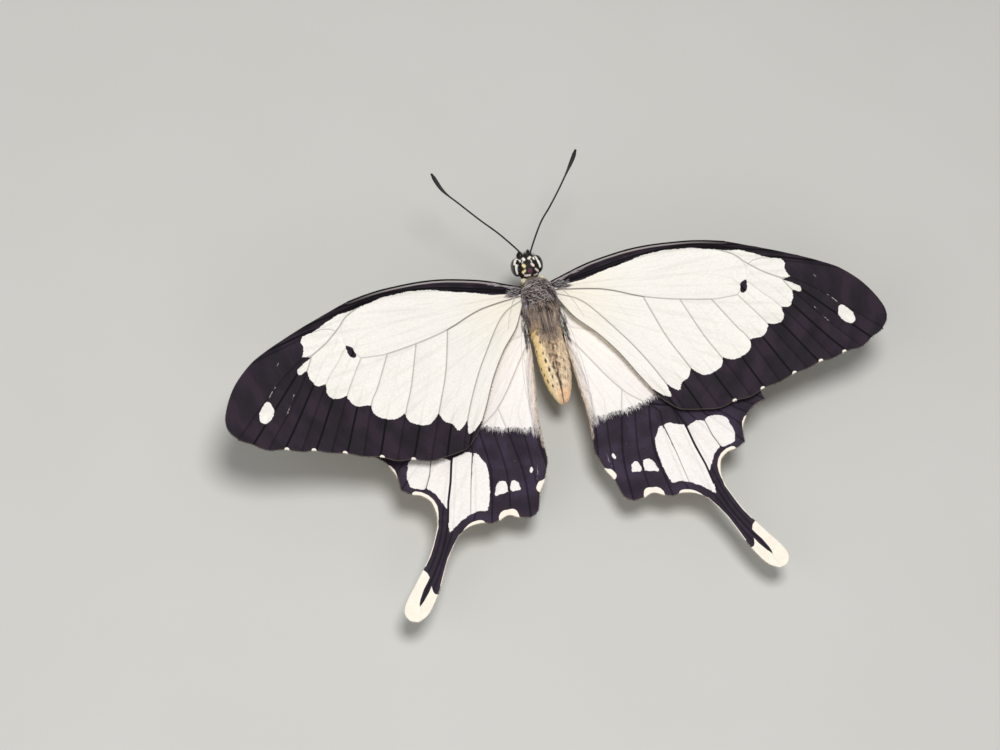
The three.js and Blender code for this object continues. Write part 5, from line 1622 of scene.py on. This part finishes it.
for side in sides:
    title = side.title()
    # eyeball with its broken ring of cream scales
    radii = np.array(eyes["radii"]) - eyes["drawnIn"]
    mesh = closedGrid(ball(eyes["at"], radii, rows=91, columns=129) * flip[side])
    inArc = np.max([
        1 - smoothStep(gapToChain(mesh[0], chain) / half, 0.85, 1.1)
        for chain, half in eyes["arcs"][side]], axis=0)
    tint = laidOver(pigment(eyes["colour"], len(mesh[0])), eyes["cream"], inArc)
    skinPiece(f"eye{title}", mesh, "eye", [f"eye_{side}"], tint)
    rng = np.random.default_rng(eyes["seed"])
    spots = scatter(*mesh, eyes["scales"]["count"], rng, inArc[mesh[1]].mean(1) ** 2)
    lay = rearward(spots[0], 0.0, rng, 0.2)
    lots = [hairLot(spots, rng, lay, {**eyes["scales"], "tint": orbitPigment})]
    makeHairs(f"orbitScales{title}", lots, "headScale")
    # antenna: radius = filament widening to the club, with a waist at each segment's end
    path = evenSpline(antennae[side], antennae["steps"])
    share = np.linspace(0, 1, len(path))
    reach = share * np.linalg.norm(np.diff(path, axis=0), axis=1).sum()
    swell = smoothStep(share, 0.74, 0.92) * (1 - 0.75 * smoothStep(share, 0.95, 1.0))
    waist = np.abs(np.cos(np.pi * reach / antennae["ring"])) ** 6
    radii = (antennae["filament"] + (antennae["club"] - antennae["filament"]) * swell) * (1 - 0.1 * waist)
    mesh = closedGrid(tubeAlong(path * flip[side], radii, 14, (0.1, 0.2, 1.0)))
    along = np.linalg.norm(mesh[0] - path[0] * flip[side], axis=1)
    joint = np.abs(np.cos(np.pi * along / antennae["ring"])) ** 8
    tint = laidOver(pigment(antennae["colour"], len(mesh[0])), antennae["joint"], 0.6 * joint)
    skinPiece(f"antenna{title}", mesh, "antenna", [f"antenna_{side}"], tint)
    # palp: a short curved tube bristling with scales
    path = evenSpline(palps["route"], 24)
    mesh = closedGrid(tubeAlong(path * flip[side], np.linspace(*palps["radius"], len(path)), 16, (1.0, 0, 0)))
    skinPiece(f"palp{title}", mesh, "headSkin", [f"palp_{side}"], palpPigment(mesh[0]))
    rng = np.random.default_rng(palps["seed"][side])
    spots = scatter(*mesh, palps["scales"]["count"], rng)
    lay = np.array([0.0, -0.4, 1.0]) + 0.2 * rng.normal(size=spots[0].shape)
    lots = [hairLot(spots, rng, lay, {**palps["scales"], "tint": palpPigment})]
    makeHairs(f"palpScales{title}", lots, "headScale")

# proboscis: a flat spiral under the face, r falling evenly with the angle
share = np.linspace(0, 1, 220)
spin = np.pi / 2 + share * proboscis["turns"] * 2 * np.pi
reach = proboscis["outer"] + (proboscis["inner"] - proboscis["outer"]) * share
along, up = proboscis["centre"]
path = np.stack([0 * share, along + reach * np.cos(spin), up + reach * np.sin(spin)], -1)
radii = proboscis["radius"][0] + (proboscis["radius"][1] - proboscis["radius"][0]) * share
mesh = closedGrid(tubeAlong(path, radii * (1 - 0.05 * np.abs(np.cos(share * 110))), 14, (1.0, 0, 0)))
skinPiece("proboscisCoil", mesh, "leg", ["proboscis"], proboscis["colour"])
print("head and body done")

# Legs in the standing frame, as the insect stands: [out, along, up] from the floor under the axis point
legs = {
    "front": [(0.95, -3.0, 6.9), (1.6, -3.3, 5.4), (5.0, -3.2, 6.4), (6.6, -3.4, 0.75), (9.2, -5.2, 0.2)],
    "middle": [(1.3, -0.6, 6.6), (2.1, -0.3, 5.1), (6.0, 0.9, 6.6), (8.3, 1.9, 0.75), (11.4, 3.1, 0.2)],
    "hind": [(1.2, 1.8, 6.7), (2.0, 2.8, 5.0), (5.6, 7.6, 6.3), (7.6, 12.6, 0.75), (8.9, 16.9, 0.2)],
    "stride": {
        "left": {"front": 0.4, "middle": -0.3, "hind": 0.5},
        "right": {"front": -0.3, "middle": 0.4, "hind": -0.4}},
    "girth": [  # radius at each row from the hip to the claws
        (0, 10, 16, 32, 49, 52, 88, 91, 150), (0.62, 0.42, 0.32, 0.34, 0.26, 0.24, 0.19, 0.2, 0.15)],
    "rows": (10, 40, 40, 60),  # of each limb
    "footFrom": 90,  # the row where the foot begins
    "colour": 0x2E231D,
    "pale": 0xB9A27C,
    "toes": 5,
    "scales": 620,
    "spiny": 0.22,  # share of them that are long stiff spines
}


def legPath(name, side):
    # Straight limbs between the joints; the foot comes down to the floor along its five joints
    hip, trochanter, knee, ankle, toe = (np.array(joint, float) for joint in legs[name])
    back = legs["stride"][side][name]
    knee, ankle, toe = knee + (0, back * 0.4, 0), ankle + (0, back, 0), toe + (0, back, 0)
    corners = [hip, trochanter, knee, ankle, toe]
    stops = []
    for start, end, steps in zip(corners[:-1], corners[1:], legs["rows"]):
        stops.append(start + (end - start) * (np.arange(steps) / steps)[:, None])
    path = np.vstack([*stops, toe[None]])
    share = np.arange(len(path))
    thigh = smoothStep(share, 8, 16) * (1 - smoothStep(share, 38, 50))
    radius = np.interp(share, *legs["girth"]) + 0.03 * thigh
    foot = np.clip((share - legs["footFrom"]) / legs["rows"][-1], 0, 1)
    joint = np.abs(np.cos(np.pi * foot * legs["toes"])) ** 4
    onFloor = share > legs["footFrom"]
    radius = radius * np.where(onFloor, 0.88 + 0.22 * joint, 1)
    path[onFloor, 2] = np.maximum(path[onFloor, 2] - 0.25 * foot[onFloor] * legs["toes"], radius[onFloor])
    path = path * flip[side]
    smooth = path.copy()
    smooth[1:-1] = (path[:-2] + 2 * path[1:-1] + path[2:]) / 4
    return smooth, radius, [corner * flip[side] for corner in (knee, ankle, toe)]


def footTube(path, radius, thin, reference):
    # A claw or spur: a small tube that gets thinner evenly by the share thin
    share = np.linspace(0, 1, len(path))
    return closedGrid(tubeAlong(path, radius * (1 - thin * share), 8, reference))


floorAxis = np.array([axisPoint[0], axisPoint[1], 0.0])
for name in ("front", "middle", "hind"):
    for side in sides:
        path, radius, (knee, ankle, toe) = legPath(name, side)
        plane = np.cross(knee - path[10], ankle - knee)
        plane /= np.linalg.norm(plane)
        toeward = (toe - ankle) * (1, 1, 0)
        toeward /= np.linalg.norm(toeward)
        sideways = np.array([-toeward[1], toeward[0], 0])
        footward = (ankle - knee) / np.linalg.norm(ankle - knee)
        share = np.linspace(0, 1, 14)[:, None]
        parts = [closedGrid(tubeAlong(path, radius, 14, plane))]
        for lean in (-1, 1):
            spread = sideways * lean * (0.05 + 0.32 * np.sin(share * 1.5))
            claw = toe + toeward * (-0.1 + 0.55 * share) + spread
            claw[:, 2:] = np.maximum(claw[:, 2:] - 0.08 * share**2, 0.06)
            parts.append(footTube(claw, 0.075, 0.75, (0, 0.1, 1.0)))
            if name != "front":
                spur = ankle + (knee - ankle) * 0.12 + footward * 0.85 * share + sideways * lean * 0.5 * share
                parts.append(footTube(spur, 0.06, 0.7, plane))
        points, faces, maps, total = [], [], [], 0
        for index, part in enumerate(parts):
            points.append(part[0])
            faces.append(part[1] + total)
            total += len(part[0])
            maps.append(part[2] * 0.9 if index == 0 else 0.91 + 0.02 * index + part[2] * 0.015)
        points = np.vstack(points)
        points[:, 2] = np.maximum(points[:, 2], overFloor)
        rng = np.random.default_rng(51)
        thigh = 0.35 * smoothStep(points[:, 2], 4.6, 5.6) * rng.random(len(points))
        tint = laidOver(pigment(legs["colour"], len(points)), legs["pale"], thigh)
        title = f"leg{name.title()}{side.title()}"
        makePiece(title, points + floorAxis, np.vstack(faces), coats["leg"],
                  [f"leg_{name}_{side}"], {"pigment": tint}, np.vstack(maps).reshape(-1, 2))
        # short spines down the shin and foot, close scales on the thigh
        limb = parts[0]
        below = limb[0][limb[1]].mean(1)[:, 2] < 5.8
        root, normal, place = scatter(*limb, legs["scales"], rng, 0.35 + 1.0 * below)
        count = len(root)
        downward = np.where((root[:, 2] > 0.9)[:, None], ankle - knee, toeward)
        downward = downward + 0.5 * rng.normal(size=(count, 3))
        spiny = rng.random(count) < legs["spiny"]
        tint = laidOver(pigment(legs["colour"], count), legs["pale"], 0.3 * rng.random(count))
        laid = lying(root + floorAxis)
        lot = {
            "seed": 52, "root": laid, "normal": lying(root + normal + floorAxis) - laid, "place": place * 0.9,
            "lay": downward, "length": np.where(spiny, 0.42, 0.22), "width": np.where(spiny, 0.022, 0.03),
            "rise": np.radians(np.where(spiny, 38.0, 12.0)), "curl": np.full(count, 0.05), "pigment": tint}
        makeHairs(f"{title}Scales", [clearOf(lot, root[:, 2] > 0.16)], "thoraxHair")
print("legs done")

# Floor, lights and camera
studio = {
    "floor": 0xCDCCC8,
    "floorFibre": 0xC8C7C2,
    "floorSize": 3.0,  # metres
    "key": {"at": (10, 30, 430), "size": 150, "watts": 1.26},  # millimetres, shining at the body
    "fill": {"at": (330, 120, 300), "size": 380, "watts": 0.42},
    "rim": {"at": (0, 420, 260), "size": 260, "watts": 0.275},
    "lookAt": (0, 0, 9),
    "sky": 0.24,
}
camera = {
    "at": (79.6, 137.9, 315.0),
    "look": (-0.20730, -0.40866, -0.88883),
    "up": (-0.18749, -0.87513, 0.44609),
    "lens": 89.8,
    "sensor": 36.0,
    "reach": (0.01, 20.0),  # metres
}


def paperFloor():
    # Matt studio paper: even, with a barely seen fibre mottling
    material, tree, shader = newMaterial("paperBackdrop", {"Roughness": 0.85, "Specular IOR Level": 0.2})
    place = addNode(tree, "ShaderNodeTexCoord").outputs["Object"]
    fibres = addNode(tree, "ShaderNodeTexNoise", {"Scale": 40.0, "Detail": 3.0}, {"Vector": place})
    paper = {"data_type": "RGBA", 6: linear(studio["floor"]), 7: linear(studio["floorFibre"])}
    mixed = addNode(tree, "ShaderNodeMix", paper, {0: fibres.outputs["Fac"]})
    tree.links.new(mixed.outputs[2], shader.inputs["Base Color"])
    half = studio["floorSize"] / 2
    mesh = bpy.data.meshes.new("studioFloor")
    corners = [(-half, -half, 0), (half, -half, 0), (half, half, 0), (-half, half, 0)]
    mesh.from_pydata(corners, [], [(0, 1, 2, 3)])
    mesh.materials.append(material)
    floor = bpy.data.objects.new("studioFloor", mesh)
    bpy.context.scene.collection.objects.link(floor)


def softLight(name, at, size, watts):
    light = bpy.data.lights.new(name, "AREA")
    light.shape, light.size, light.energy = "DISK", size * 0.001, watts
    lamp = bpy.data.objects.new(name, light)
    lamp.location = Vector(at) * 0.001
    lamp.rotation_euler = (Vector(studio["lookAt"]) - Vector(at)).to_track_quat("-Z", "Y").to_euler()
    bpy.context.scene.collection.objects.link(lamp)


paperFloor()
for name in ("key", "fill", "rim"):
    softLight(name + "Light", **studio[name])
world = bpy.data.worlds.new("studioSky")
world.use_nodes = True
sky = world.node_tree.nodes["Background"].inputs
sky["Color"].default_value = (1.0, 1.0, 1.0, 1.0)
sky["Strength"].default_value = studio["sky"]
bpy.context.scene.world = world
bpy.context.scene.view_settings.view_transform = "Standard"  # whites stay as bright as they are lit

lens = bpy.data.cameras.new("studioCamera")
lens.lens, lens.sensor_width = camera["lens"], camera["sensor"]
lens.clip_start, lens.clip_end = camera["reach"]
viewer = bpy.data.objects.new("studioCamera", lens)
back, up = -Vector(camera["look"]).normalized(), Vector(camera["up"])
right = up.cross(back).normalized()
turn = Matrix((right, back.cross(right), back)).transposed()
viewer.matrix_world = Matrix.Translation(Vector(camera["at"]) * 0.001) @ turn.to_4x4()
bpy.context.scene.collection.objects.link(viewer)
bpy.context.scene.camera = viewer
print("stage done")

bpy.context.view_layer.update()
